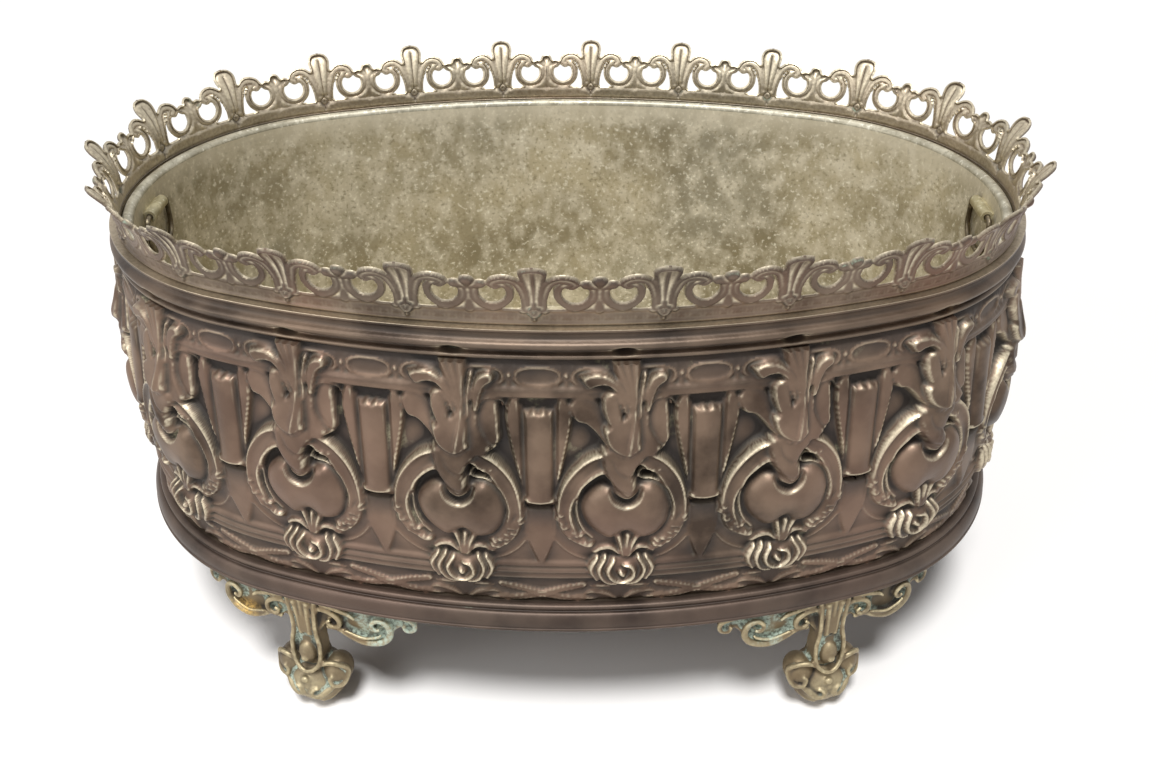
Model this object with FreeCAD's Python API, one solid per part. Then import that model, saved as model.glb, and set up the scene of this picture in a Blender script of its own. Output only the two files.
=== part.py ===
import FreeCAD, Part
import math
import os

# An oval pressed-brass planter case with a pierced gallery, on four cast feet, and its lift-out zinc liner.
# Millimetres. X is the long way, -Y the front, +Z up, and the origin is on the floor under the middle.

# Oval plan at the bead line, the row of small beads at the foot of the gallery
half_length = 200.0
half_width = 119.6
end_round_share = 0.853  # end radius as a share of the half width

# Heights
foot_height = 66.0
base_height = 12.0
wall_height = 120.0
moulding_height = 14.0
gallery_band = 6.0
gallery_rise = 25.6  # up the curled sheet

# Sheet and clearances
wall_sheet = 1.0
gallery_sheet = 1.1
gap = 0.3  # between curved faces of pieces that come apart
overrun = 2.0  # how far a cutting tool runs past what it cuts

# Repeats, and where the first of each stands, as a share of its pitch
gallery_count = 22
gallery_phase_share = 0.2712
panel_count = 16
panel_phase_share = 0.346

# Heights worked out from the sizes above
base_bottom = foot_height
wall_bottom = base_bottom + base_height
wall_top = wall_bottom + wall_height
bead_line = wall_top + moulding_height + gallery_band

# Plan of the oval: two end arcs and two side arcs that meet in line
end_radius = half_width * end_round_share
end_centre = half_length - end_radius
side_radius = (end_centre**2 + half_width**2 - end_radius**2) / (2 * (half_width - end_radius))
side_centre = side_radius - half_width
end_angle = math.atan2(side_centre, end_centre)
side_angle = math.pi - 2 * end_angle
end_run = end_radius * end_angle
side_run = side_radius * side_angle
perimeter = 4 * end_run + 2 * side_run
gallery_pitch = perimeter / gallery_count
panel_pitch = perimeter / panel_count

up = FreeCAD.Vector(0, 0, 1)


def plan_arcs():
    """The oval counter-clockwise from the +X tip: centre, radius, start angle and length of each arc."""
    right = FreeCAD.Vector(end_centre, 0, 0)
    left = FreeCAD.Vector(-end_centre, 0, 0)
    behind = FreeCAD.Vector(0, -side_centre, 0)
    before = FreeCAD.Vector(0, side_centre, 0)
    return [
        (right, end_radius, 0, end_run),
        (behind, side_radius, end_angle, side_run),
        (left, end_radius, math.pi - end_angle, 2 * end_run),
        (before, side_radius, math.pi + end_angle, side_run),
        (right, end_radius, 2 * math.pi - end_angle, end_run),
    ]


def heading(angle):
    return FreeCAD.Vector(math.cos(angle), math.sin(angle), 0)


def station(run):
    """Point on the bead line, its way along the line and its way out, at a run from the +X tip."""
    run = run % perimeter
    for centre, radius, start, length in plan_arcs():
        if run <= length:
            break
        run -= length
    angle = start + min(run, length) / radius
    out = heading(angle)
    return centre + out * radius, up.cross(out), out


def stretches(start_run, end_run_at):
    """The arcs between two runs, as centre, radius, start angle and sweep."""
    found = []
    for lap in (0, 1):
        passed = lap * perimeter
        for centre, radius, start, length in plan_arcs():
            low = max(start_run, passed)
            high = min(end_run_at, passed + length)
            if high - low > perimeter * 1e-7:
                found.append((centre, radius, start + (low - passed) / radius, (high - low) / radius))
            passed += length
    return found


def outline_face(outline, place):
    """A flat face. An entry of two points is an arc through the first to the second."""
    edges = []
    here = outline[0]
    for entry in outline[1:]:
        if isinstance(entry[0], tuple):
            through, end = entry
            edges.append(Part.Arc(place(here), place(through), place(end)).toShape())
            here = end
        else:
            edges.append(Part.LineSegment(place(here), place(entry)).toShape())
            here = entry
    if here != outline[0]:
        edges.append(Part.LineSegment(place(here), place(outline[0])).toShape())
    return Part.Face(Part.Wire(edges))


def fused(shapes):
    whole = shapes[0]
    if len(shapes) > 1:
        whole = whole.fuse(shapes[1:])
    return whole


def band(outline, start_run=0.0, end_run_at=perimeter):
    """An outline of (way out from the bead line, height) carried round the oval between two runs."""
    parts = []
    for centre, radius, start, sweep in stretches(start_run, end_run_at):
        out = heading(start)
        face = outline_face(outline, lambda p: centre + out * (radius + p[0]) + up * p[1])
        parts.append(face.revolve(centre, up, math.degrees(sweep)))
    return fused(parts).removeSplitter()


def slab(outline, height, thickness):
    """A flat oval plate whose edge is that far out from the bead line."""
    edges = []
    for centre, radius, start, sweep in stretches(0.0, perimeter):
        reach = radius + outline
        points = [centre + heading(start + sweep * share) * reach + up * height for share in (0, 0.5, 1)]
        edges.append(Part.Arc(*points).toShape())
    return Part.Face(Part.Wire(edges)).extrude(up * thickness)


def prism(outline, run, near, far):
    """An outline of (way along, height) in the plane that touches the oval at a run, drawn straight out."""
    point, along, out = station(run)
    face = outline_face(outline, lambda p: point + along * p[0] + up * p[1] + out * near)
    return face.extrude(out * (far - near))


def panel_run(index):
    return (index + panel_phase_share) * panel_pitch


def pilaster_run(index):
    return panel_run(index) - panel_pitch / 2


# Wall: a waisted pressed sheet, bulging over the panels
neck_out = -1.0
frieze_out = 1.0
frieze_height = 11.0
fillet_out = 3.0
fillet_height = 5.0
recess_out = 0.0
recess_height = 5.0
belly_out = 7.0
belly_drop = 80.0  # below the wall's top
lower_out = 5.0
lower_fillet_out = 7.0
lower_fillet_height = 10.0
ribbon_out = 4.5
ribbon_height = 13.0


def wall_outline():
    frieze_low = wall_top - frieze_height
    fillet_low = frieze_low - fillet_height
    recess_low = fillet_low - recess_height
    ribbon_top = wall_bottom + ribbon_height
    lower_top = ribbon_top + lower_fillet_height
    belly = wall_top - belly_drop
    outer = [
        (neck_out, wall_top),
        (frieze_out, frieze_low),
        (fillet_out, frieze_low - fillet_height / 3),
        (fillet_out, fillet_low),
        (recess_out, fillet_low - recess_height / 3),
        (recess_out, recess_low),
        (belly_out - (belly_out - recess_out) / 8, (recess_low + belly) / 2 - (recess_low - belly) / 4),
        (belly_out, belly),
        (lower_out, lower_top),
        (lower_fillet_out, lower_top - lower_fillet_height / 3),
        (lower_fillet_out, ribbon_top + lower_fillet_height / 4),
        (ribbon_out, ribbon_top),
        (ribbon_out, wall_bottom),
    ]
    inner = [
        (ribbon_out - wall_sheet, wall_bottom),
        (lower_out - wall_sheet, lower_top),
        (belly_out - wall_sheet, belly),
        (recess_out - wall_sheet, recess_low),
        (neck_out - wall_sheet, wall_top),
    ]
    return outer + inner


# Pilaster: a rounded upright between two panels, cut off square over a flat pointed tongue
pilaster_width = 10.6
pilaster_drop = 22.0
pilaster_length = 41.0
pilaster_top_out = 5.0
pilaster_foot_out = 9.8
pilaster_round = 1.6
tongue_length = 33.0
tongue_tip_width = 1.6
tongue_rise = 1.4

# Kidney boss in the middle of each panel
kidney_width = 34.0
kidney_height = 22.0
kidney_drop = 73.0
kidney_out = 13.0
kidney_crown_share = 0.55

# Acanthus bracket over the boss
bracket_neck_width = 7.0
bracket_width = 27.0
bracket_length = 41.0
bracket_spread_drop = 26.0
bracket_out = 12.0
bracket_tip_width = 9.0
bracket_taper_share = 0.7

# Rosette knot on the lower moulding
rosette_width = 24.0
rosette_height = 15.0
rosette_drop = 99.5
rosette_out = 11.0
rosette_crown_share = 0.5


def wall_out_at(height):
    """How far out the wall's outer face stands at a height."""
    outer = wall_outline()[:13]
    for (high_out, high), (low_out, low) in zip(outer, outer[1:]):
        if high >= height >= low and high > low:
            return high_out + (low_out - high_out) * (high - height) / (high - low)
    return ribbon_out


def level_outline(run, points, out):
    """A closed wire of (way along, height) points, that far out at a run."""
    point, along, outward = station(run)
    corners = [point + outward * out + along * p[0] + up * p[1] for p in points]
    return Part.makePolygon(corners + corners[:1])


def rounded_points(width, height, middle, count):
    """Points round an oval of that size, centred at a height."""
    turns = [2 * math.pi * (index + 0.5) / count for index in range(count)]
    return [(width / 2 * math.cos(turn), middle + height / 2 * math.sin(turn)) for turn in turns]


boss_sides = 14
wall_share = 0.55  # of a boss's rise, where its sides end
shoulder_share = 0.85
root_sink = 3.0  # how deep a boss is rooted behind the wall's face


def domed_boss(run, width, height, drop, out, crown_share):
    """A rounded boss: full outline at the wall, a shoulder, and a smaller crown."""
    middle = wall_top - drop
    root = wall_out_at(middle) - root_sink
    rise = out - root
    stages = ((1, 0), (1, wall_share), ((1 + crown_share) / 2, shoulder_share), (crown_share, 1))
    wires = []
    for size_share, rise_share in stages:
        points = rounded_points(width * size_share, height * size_share, middle, boss_sides)
        wires.append(level_outline(run, points, root + rise * rise_share))
    return Part.makeLoft(wires, True, True)


def cross_section(run, height, width, root, out):
    """A level D-shaped section: flat behind, rounded in front."""
    point, along, outward = station(run)

    def place(p):
        return point + along * p[0] + outward * p[1] + up * height

    half = width / 2
    corners = [(-half, root), (half, root), (half, out - pilaster_round), (half / 2, out), (-half / 2, out)]
    corners.append((-half, out - pilaster_round))
    wire = [place(p) for p in corners]
    return Part.makePolygon(wire + wire[:1])


def pilaster(run):
    top = wall_top - pilaster_drop
    foot = top - pilaster_length
    tip = foot - tongue_length
    tongue_out = wall_out_at(foot) + tongue_rise
    bar = Part.makeLoft(
        [
            cross_section(run, top, pilaster_width, wall_out_at(top) - root_sink, pilaster_top_out),
            cross_section(run, foot, pilaster_width, wall_out_at(foot) - root_sink, pilaster_foot_out),
        ],
        True,
        True,
    )
    tongue = Part.makeLoft(
        [
            cross_section(run, foot, pilaster_width, tongue_out - root_sink, tongue_out),
            cross_section(run, tip, tongue_tip_width, wall_out_at(tip) - root_sink, wall_out_at(tip) + tongue_rise),
        ],
        True,
        True,
    )
    return [bar, tongue]


def bracket(run):
    """A leaf that hangs from a narrow neck, spreads, swells and draws in to a tongue over the boss."""
    top = wall_top
    spread = top - bracket_spread_drop
    tip = top - bracket_length
    mid_high = (top + spread) / 2
    stages = (
        (top, bracket_neck_width, frieze_out + tongue_rise),
        (mid_high, bracket_neck_width, fillet_out + tongue_rise),
        (spread, bracket_width, (fillet_out + bracket_out) / 2),
        ((spread + tip) / 2, bracket_width * bracket_taper_share, bracket_out),
        (tip, bracket_tip_width, bracket_out),
    )
    wires = [
        cross_section(run, height, width, recess_out - root_sink / 2, out) for height, width, out in stages
    ]
    return Part.makeLoft(wires, True, True)


def pressed_wall(first_panel):
    """One pressed half of the wall with its relief, from the middle of one end pilaster to the next end."""
    half_panels = panel_count // 2
    start = pilaster_run(first_panel) % perimeter
    end = start + perimeter / 2
    sheet = band(wall_outline(), start, end)
    relief = []
    for index in range(half_panels):
        run = panel_run(first_panel + index)
        relief.append(domed_boss(run, kidney_width, kidney_height, kidney_drop, kidney_out, kidney_crown_share))
        relief.append(
            domed_boss(run, rosette_width, rosette_height, rosette_drop, rosette_out, rosette_crown_share)
        )
        relief.append(bracket(run))
        if index > 0:
            relief.extend(pilaster(pilaster_run(first_panel + index)))
    # The pilaster on each seam is cut through its middle
    for seam, side in ((start, 1), (end, -1)):
        point, along, outward = station(seam)
        for piece in pilaster(seam):
            relief.append(half_of(piece, point, along * side, outward))
    inner = wall_outline()[13:]
    behind = root_sink + wall_sheet
    back = [(out - behind, height) for out, height in reversed(inner)]
    return sheet.fuse(relief).cut(band(inner + back, start - overrun, end + overrun)).removeSplitter()


def half_of(piece, point, along, outward):
    """The part of a piece on the side that along points to."""
    reach = max(half_length, wall_height)
    block = Part.makeBox(reach, reach, 2 * reach)
    turn = FreeCAD.Rotation(along, outward, up, "XYZ")
    block.Placement = FreeCAD.Placement(point - outward * (reach / 2), turn)
    return piece.common(block)


# Top moulding: a sharp edge, a shallow cove, two rounds, and a ledge inside that carries the liner
edge_out = 2.5
edge_height = 1.6
cove_out = 0.8
round_out = 3.6
upper_round_share = 0.36
lower_round_share = 0.22
ledge_sheet = 1.2
liner_gap = 5.3  # from the case wall's inner face in to the liner's wall
liner_sheet = 0.8
rim_wire = 5.0  # thickness of the liner's rolled rim
rim_drop = 5.0  # the rim's top below the bead line

neck_inside = neck_out - wall_sheet
rim_middle = bead_line - rim_drop - rim_wire / 2
rim_out = neck_inside - gap - liner_gap + rim_wire / 2 + gap
liner_top_out = rim_out - rim_wire / 2
ledge_top = rim_middle - rim_wire / 2 - gap
ledge_inside = liner_top_out + liner_sheet + gap


def top_moulding():
    top = wall_top + moulding_height
    upper_round = moulding_height * upper_round_share
    lower_round = moulding_height * lower_round_share
    cove_low = wall_top + lower_round + upper_round + edge_height / 2
    cove_high = top - edge_height
    outline = [
        (neck_inside, top),
        (edge_out, top),
        (edge_out, cove_high),
        ((cove_out, (cove_high + cove_low) / 2), (edge_out, cove_low)),
        (round_out, cove_low - upper_round / 3),
        (round_out, cove_low - upper_round * 2 / 3),
        (cove_out, cove_low - upper_round),
        (edge_out, wall_top + lower_round * 2 / 3),
        (edge_out, wall_top + lower_round / 3),
        (neck_out, wall_top),
        (neck_inside, wall_top),
        (neck_inside, ledge_top - ledge_sheet),
        (ledge_inside, ledge_top - ledge_sheet),
        (ledge_inside, ledge_top),
        (neck_inside, ledge_top),
    ]
    return band(outline)


# Gallery: a pierced strip of palmettes, scrolls and buds that stands up and then curls outwards.
# Its pattern is given flat: way along from a palmette's middle, and way up the sheet from the bead line.
curl_start = 1.5
curl_radius = 30.0
curl_steps = 3
palmette_half_width = 4.9
palmette_shoulder = 22.4
palmette_neck = 3.9
scroll_foot = 16.6
scroll_top = 19.4
scroll_end = 14.9
scroll_from = 9.7
scroll_to = 15.8
lobe_at = 18.4
lobe_top = 15.9
notch_at = 20.8
bud_notch = 15.4
bud_side = 21.7
bud_shoulder = 17.6
bud_top = 18.4
eye_at = 15.0
eye_height = 8.75
eye_radius = 4.8
scroll_radius = 9.2  # outside of the scroll, round the middle of its eye
corner_near = 4.5
corner_foot = 0.9
palmette_waist = 1.6
palmette_foot = 2.6
palmette_stand_out = 1.1
palmette_sink_share = 0.5
bead_radius = 2.0


def curl_turn(sheet_height):
    return max(0, sheet_height - curl_start) / curl_radius


def curl_out(sheet_height, face=0.0):
    """How far out the curled sheet stands, at a way up it; face is measured out from its inner side."""
    turn = curl_turn(sheet_height)
    return neck_inside + curl_radius - (curl_radius - face) * math.cos(turn)


def curl_up(sheet_height, face=0.0):
    """Its height over the bead line there."""
    turn = curl_turn(sheet_height)
    if turn == 0:
        return sheet_height
    return curl_start + (curl_radius - face) * math.sin(turn)


def curl_point(sheet_height, face=0.0):
    return curl_out(sheet_height, face), bead_line + curl_up(sheet_height, face)


def gallery_strip(start_run):
    """Half of the gallery, from the middle of one bud to the middle of the bud opposite."""
    low = bead_line - gallery_band
    face = gallery_sheet
    levels = [curl_start + (gallery_rise - curl_start) * index / curl_steps for index in range(curl_steps + 1)]
    outer = [curl_point(level, face) for level in levels]
    inner = [curl_point(level) for level in reversed(levels)]
    outline = [(neck_inside, low), (neck_inside + face, low)] + outer + inner
    strip = band(outline, start_run, start_run + perimeter / 2)
    half_count = gallery_count // 2
    near = neck_inside - overrun
    far = curl_out(gallery_rise, face) + overrun
    holes = []
    leaves = []
    for index in range(half_count):
        run = start_run + (index + 0.5) * gallery_pitch
        holes.append(prism(gallery_skyline(), run, near, far))
        for side in (-1, 1):
            holes.append(eye_hole(run, side, near, far))
            holes.append(corner_hole(run, side, near, far))
        leaves.append(palmette(run))
        leaves.append(bead(run))
    return strip.cut(holes).fuse(leaves)


def gallery_skyline():
    """What is cut away over one motif: everything above its top edge."""
    half = gallery_pitch / 2
    edge = half + overrun
    sky = gallery_rise + overrun
    right = [
        ((0, gallery_rise), (palmette_half_width, palmette_shoulder)),
        (palmette_neck, scroll_foot),
        ((scroll_from, scroll_top), (scroll_to, scroll_end)),
        ((lobe_at, lobe_top), (notch_at, bud_notch)),
        ((bud_side, bud_shoulder), (half, bud_top)),
        (edge, bud_top),
        (edge, sky),
        (-edge, sky),
        (-edge, bud_top),
    ]
    left = [
        (-half, bud_top),
        ((-bud_side, bud_shoulder), (-notch_at, bud_notch)),
        ((-lobe_at, lobe_top), (-scroll_to, scroll_end)),
        ((-scroll_from, scroll_top), (-palmette_neck, scroll_foot)),
        (-palmette_half_width, palmette_shoulder),
    ]
    return [raised((-palmette_half_width, palmette_shoulder), 1)] + [raised(entry, 1) for entry in right + left]


def raised(entry, side):
    """An outline entry of the flat pattern, at its real height and on that side."""
    if isinstance(entry[0], tuple):
        return tuple((x * side, bead_line + curl_up(z)) for x, z in entry)
    return (entry[0] * side, bead_line + curl_up(entry[1]))


def eye_hole(run, side, near, far):
    point, along, out = station(run)
    centre = point + along * (side * eye_at) + up * (bead_line + curl_up(eye_height)) + out * near
    return Part.makeCylinder(eye_radius, far - near, centre, out)


def corner_hole(run, side, near, far):
    """The three-sided opening between a palmette's stem and the outside of its scroll."""
    drop = eye_height - corner_foot
    slant = scroll_radius * math.sqrt(0.5)
    foot = (eye_at - math.sqrt(scroll_radius**2 - drop**2), corner_foot)
    corner = [
        (corner_near, corner_foot),
        foot,
        ((eye_at - slant, eye_height - slant), (eye_at - scroll_radius, eye_height)),
        (corner_near, eye_height),
    ]
    return prism([raised(entry, side) for entry in corner], run, near, far)


def palmette(run):
    """The leaf that stands proud of the strip: narrow at its foot, flared at its top, following the curl."""
    point, along, outward = station(run)
    wires = []
    stages = (
        (palmette_foot, palmette_waist),
        ((palmette_foot + scroll_foot) / 2, (palmette_waist + palmette_neck) / 2),
        (palmette_shoulder, palmette_neck),
    )
    for height, half in stages:
        corners = []
        for side_share, face in (
            (-1, gallery_sheet * palmette_sink_share),
            (1, gallery_sheet * palmette_sink_share),
            (0.5, gallery_sheet + palmette_stand_out),
            (-0.5, gallery_sheet + palmette_stand_out),
        ):
            out, level = curl_point(height, face)
            corners.append(point + along * (half * side_share) + outward * out + up * level)
        wires.append(Part.makePolygon(corners + corners[:1]))
    return Part.makeLoft(wires, True, True)


def bead(run):
    point, along, out = station(run)
    start = point + out * (neck_inside + gallery_sheet / 2) + up * bead_line
    return Part.makeCylinder(bead_radius, gallery_sheet / 2 + palmette_stand_out, start, out)


# Base moulding: a broad quarter-round with a lip turned in under the bottom plate
base_out = 12.0
base_sheet = 1.2
base_top_out = 7.5
lip_in = 2.0
plate_sheet = 1.2


def base_moulding():
    round_low = base_bottom + base_height / 3
    inner_top = ribbon_out - wall_sheet
    outline = [
        (inner_top, wall_bottom),
        (base_top_out, wall_bottom),
        ((base_out - base_sheet, wall_bottom - base_height / 4), (base_out, round_low)),
        (base_out, base_bottom + base_sheet / 2),
        (base_out - base_sheet / 2, base_bottom),
        (lip_in, base_bottom),
        (lip_in, base_bottom + base_sheet),
        (base_out - 2 * base_sheet, base_bottom + base_sheet),
        (base_out - 2 * base_sheet, round_low),
        (inner_top, wall_bottom - base_sheet),
    ]
    return band(outline)


plate_out = base_out - 2 * base_sheet - gap
plate_low = base_bottom + base_sheet
plate_top = plate_low + plate_sheet

# Foot: a cast scroll leg on a lobed ball, with a wing each way under the base edge
foot_x = 116.0
leg_out = 5.0
ball_width = 31.0
ball_depth = 27.0
ball_height = 27.0
ball_flat_share = 0.5
ball_low_share = 0.87
ball_middle_share = 0.55
ball_top_share = 0.86
lobe_width = 15.0
lobe_height = 15.0
lobe_spread = 12.0
lobe_rise = 21.0
ankle_width = 12.0
ankle_depth = 11.0
knee_width = 19.0
knee_depth = 10.0
wing_reach = 49.0
wing_sheet = 4.0
wing_root_drop = 30.0
wing_scroll_at = 33.0
wing_scroll_drop = 16.0
wing_tip_drop = 7.0
pad_width = 22.0
pad_depth = 18.0
pad_thickness = 4.0
foot_sides = 12

# Foot screws: one down through the bottom plate into each foot
screw_shank = 4.0
screw_length = 12.0
screw_head = 8.0
screw_head_height = 2.4
screw_in = 3.0  # how far inside the bead line the screw stands
washer_width = 10.0
washer_sheet = 1.0
thread_gap = 0.05


def foot_run(right, front):
    """The run from the +X tip to a foot, from how far along X it stands."""
    turn = math.asin(foot_x / side_radius)
    run = end_run + side_run / 2 - side_radius * turn
    if right and not front:
        return run
    if not right and not front:
        return perimeter / 2 - run
    if not right and front:
        return perimeter / 2 + run
    return perimeter - run


def round_section(centre, along, out, width, depth, height):
    corners = []
    for index in range(foot_sides):
        turn = 2 * math.pi * (index + 0.5) / foot_sides
        across = along * (width / 2 * math.cos(turn)) + out * (depth / 2 * math.sin(turn))
        corners.append(centre + across + up * height)
    return Part.makePolygon(corners + corners[:1])


def lofted_round(centre, along, out, stages):
    wires = [round_section(centre, along, out, width, depth, height) for width, depth, height in stages]
    return Part.makeLoft(wires, True, True)


def foot(right, front):
    run = foot_run(right, front)
    point, along, out = station(run)
    middle = point + out * leg_out
    flat = ball_flat_share
    ball = lofted_round(
        middle,
        along,
        out,
        (
            (ball_width * flat, ball_depth * flat, 0),
            (ball_width * ball_low_share, ball_depth * ball_low_share, ball_height / 4),
            (ball_width, ball_depth, ball_height * ball_middle_share),
            (ball_width * ball_low_share, ball_depth * ball_low_share, ball_height * ball_top_share),
            (ankle_width, ankle_depth, ball_height + lobe_height / 4),
        ),
    )
    lobes = []
    for side in (-1, 1):
        lobe_middle = middle + along * (side * lobe_spread)
        lobes.append(
            lofted_round(
                lobe_middle,
                along,
                out,
                (
                    (lobe_width / 2, lobe_width / 2, lobe_rise - lobe_height / 2),
                    (lobe_width, lobe_width, lobe_rise),
                    (lobe_width / 2, lobe_width / 2, lobe_rise + lobe_height / 2),
                ),
            )
        )
    leg = lofted_round(
        middle,
        along,
        out,
        (
            (ankle_width, ankle_depth, ball_height * ball_top_share),
            (ankle_width, ankle_depth, foot_height - wing_root_drop),
            (knee_width, knee_depth, foot_height - wing_sheet),
            (knee_width, knee_depth, foot_height),
        ),
    )
    pad_middle = point - out * screw_in
    pad = Part.makeBox(pad_width, pad_depth, pad_thickness)
    turn = FreeCAD.Rotation(along, out, up, "XYZ")
    corner = pad_middle - along * (pad_width / 2) - out * (pad_depth / 3) + up * (foot_height - pad_thickness)
    pad.Placement = FreeCAD.Placement(corner, turn)
    stem = Part.makeCylinder(screw_shank, screw_length, pad_middle + up * (foot_height - screw_length), up)
    body = leg.fuse([ball, pad, stem] + lobes + [wings(run)])
    tap = screw_shank / 2 + thread_gap
    reach = screw_length - plate_sheet - washer_sheet
    tapped = Part.makeCylinder(tap, reach, pad_middle + up * (foot_height - reach), up)
    return body.cut(tapped).removeSplitter()


def wings(run):
    """The pair of scrolled wings, cut from a band that follows the base edge."""
    inner = leg_out - wing_sheet / 2
    outer = leg_out + wing_sheet / 2
    low = foot_height - wing_root_drop
    spread = wing_reach + ankle_width
    outline = [(inner, low - overrun), (outer, low - overrun), (outer, foot_height), (inner, foot_height)]
    strip = band(outline, run - spread, run + spread)
    half = [
        (wing_reach, foot_height),
        (wing_reach, foot_height - wing_tip_drop),
        (wing_scroll_at + wing_tip_drop, foot_height - wing_tip_drop),
        (wing_scroll_at + wing_tip_drop, foot_height - wing_scroll_drop / 2 - wing_tip_drop / 2),
        ((wing_scroll_at, foot_height - wing_scroll_drop), (wing_scroll_at / 2, foot_height - wing_scroll_drop / 2)),
        (ankle_width / 2, low),
    ]
    mirrored = [(-ankle_width / 2, low), (-wing_scroll_at / 2, foot_height - wing_scroll_drop / 2)]
    mirrored.append(
        (
            (-wing_scroll_at, foot_height - wing_scroll_drop),
            (-wing_scroll_at - wing_tip_drop, foot_height - wing_scroll_drop / 2 - wing_tip_drop / 2),
        )
    )
    mirrored.append((-wing_scroll_at - wing_tip_drop, foot_height - wing_tip_drop))
    mirrored.append((-wing_reach, foot_height - wing_tip_drop))
    mirrored.append((-wing_reach, foot_height))
    return strip.common(prism(half + mirrored, run, -wing_reach, wing_reach))


def screw_points():
    points = []
    for right, front in ((False, True), (True, True), (False, False), (True, False)):
        point, along, out = station(foot_run(right, front))
        points.append(point - out * screw_in)
    return points


def bottom_plate():
    plate = slab(plate_out, plate_low, plate_sheet)
    holes = []
    for point in screw_points():
        start = point + up * (plate_low - overrun)
        holes.append(Part.makeCylinder(screw_shank / 2 + gap, plate_sheet + 2 * overrun, start, up))
    return plate.cut(holes)


def foot_screws():
    screws = []
    for point in screw_points():
        seat = plate_top + washer_sheet
        shank = Part.makeCylinder(screw_shank / 2, screw_length, point + up * (seat - screw_length), up)
        head = Part.makeCylinder(screw_head / 2, screw_head_height, point + up * seat, up)
        screws.append(shank.fuse(head))
    return Part.makeCompound(screws)


def foot_washers():
    washers = []
    for point in screw_points():
        ring = Part.makeCylinder(washer_width / 2, washer_sheet, point + up * plate_top, up)
        hole = Part.makeCylinder(screw_shank / 2 + gap, 3 * washer_sheet, point + up * (plate_top - washer_sheet), up)
        washers.append(ring.cut(hole))
    return Part.makeCompound(washers)


# Seam straps: strips inside the case behind its two end seams
strap_width = 14.0
strap_sheet = 0.8
strap_margin = 4.0


def seam_straps():
    recess_low = wall_top - frieze_height - fillet_height - recess_height
    belly = wall_top - belly_drop
    lower_top = wall_bottom + ribbon_height + lower_fillet_height
    back = [
        (neck_inside, wall_top - strap_margin),
        (recess_out - wall_sheet, recess_low),
        (belly_out - wall_sheet, belly),
        (lower_out - wall_sheet, lower_top),
        (ribbon_out - wall_sheet, wall_bottom + strap_margin),
    ]
    front = [(out - strap_sheet, height) for out, height in reversed(back)]
    straps = []
    for seam in (pilaster_run(0) + perimeter, pilaster_run(panel_count // 2)):
        straps.append(band(back + front, seam - strap_width / 2, seam + strap_width / 2))
    return Part.makeCompound(straps)


# Liner: a sheet tub with a rolled rim
liner_depth = 130.0
liner_draw_in = 5.0

liner_top = rim_middle
liner_bottom_height = bead_line - liner_depth
liner_foot_out = liner_top_out - liner_draw_in


def liner_wall():
    outline = [
        (liner_top_out, liner_top),
        (liner_top_out + liner_sheet, liner_top),
        (liner_foot_out + liner_sheet, liner_bottom_height),
        (liner_foot_out, liner_bottom_height),
    ]
    roll = rim_outline()
    return band(outline).cut(band(roll))


def rim_outline():
    radius = rim_wire / 2
    return [
        (rim_out - radius, rim_middle),
        ((rim_out, rim_middle + radius), (rim_out + radius, rim_middle)),
        ((rim_out, rim_middle - radius), (rim_out - radius, rim_middle)),
    ]


def liner_rim():
    return band(rim_outline())


def liner_bottom():
    plate = slab(liner_foot_out, liner_bottom_height, liner_sheet)
    return plate


# Bails: a wire ring hinged in a rolled sleeve soldered inside each end of the liner
bail_wire = 2.4
bail_width = 27.0
bail_drop = 19.0
bail_corner = 8.0
bail_bend_share = 1.2  # inside the upper corners, as a share of the wire
sleeve_length = 18.0
sleeve_width = 5.4
bail_pivot_drop = 15.0
solder_width = 3.0

bail_pivot = bead_line - bail_pivot_drop
bail_plan_out = liner_top_out - sleeve_width / 2 - sleeve_length**2 / (8 * end_radius) - gap


def pivot_point(side):
    return FreeCAD.Vector(side * (half_length + bail_plan_out), 0, bail_pivot)


def sleeve(side, wall):
    centre = pivot_point(side)
    across = FreeCAD.Vector(0, 1, 0)
    start = centre - across * (sleeve_length / 2)
    tube = Part.makeCylinder(sleeve_width / 2, sleeve_length, start, across)
    tab = Part.makeBox(sleeve_width, sleeve_length, solder_width)
    low_x = min(0, side * sleeve_width)
    tab.translate(start + FreeCAD.Vector(low_x, 0, -solder_width / 2))
    bore = Part.makeCylinder(bail_wire / 2 + gap, sleeve_length + 2 * overrun, start - across * overrun, across)
    return tube.fuse(tab).cut([bore, wall, liner_outside()])


def liner_outside():
    """All that lies outside the liner's wall, to trim the sleeves' tabs."""
    outline = [
        (liner_top_out + liner_sheet / 2, liner_top),
        (liner_top_out + sleeve_width, liner_top),
        (liner_top_out + sleeve_width, liner_bottom_height),
        (liner_foot_out + liner_sheet / 2, liner_bottom_height),
    ]
    return band(outline)


def bail(side):
    """A closed ring of round wire: a straight bar in the sleeve, two sides and a rounded foot."""
    centre = pivot_point(side)
    half = bail_width / 2
    turn = math.sqrt(0.5)
    low = -bail_drop
    upper = bail_wire * bail_bend_share
    lower = bail_corner
    upper_mid = upper * (1 - turn)
    lower_mid = lower * (1 - turn)
    route = [
        (0, 0),
        (half - upper, 0),
        ((half - upper_mid, -upper_mid), (half, -upper)),
        (half, low + lower),
        ((half - lower_mid, low + lower_mid), (half - lower, low)),
        (lower - half, low),
        ((lower_mid - half, low + lower_mid), (-half, low + lower)),
        (-half, -upper),
        ((upper_mid - half, -upper_mid), (upper - half, 0)),
    ]

    def place(p):
        return centre + FreeCAD.Vector(0, p[0], p[1])

    path = outline_face(route, place).OuterWire
    section = Part.Wire(Part.Circle(place((0, 0)), FreeCAD.Vector(0, 1, 0), bail_wire / 2).toShape())
    return path.makePipeShell([section], True, True)


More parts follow.
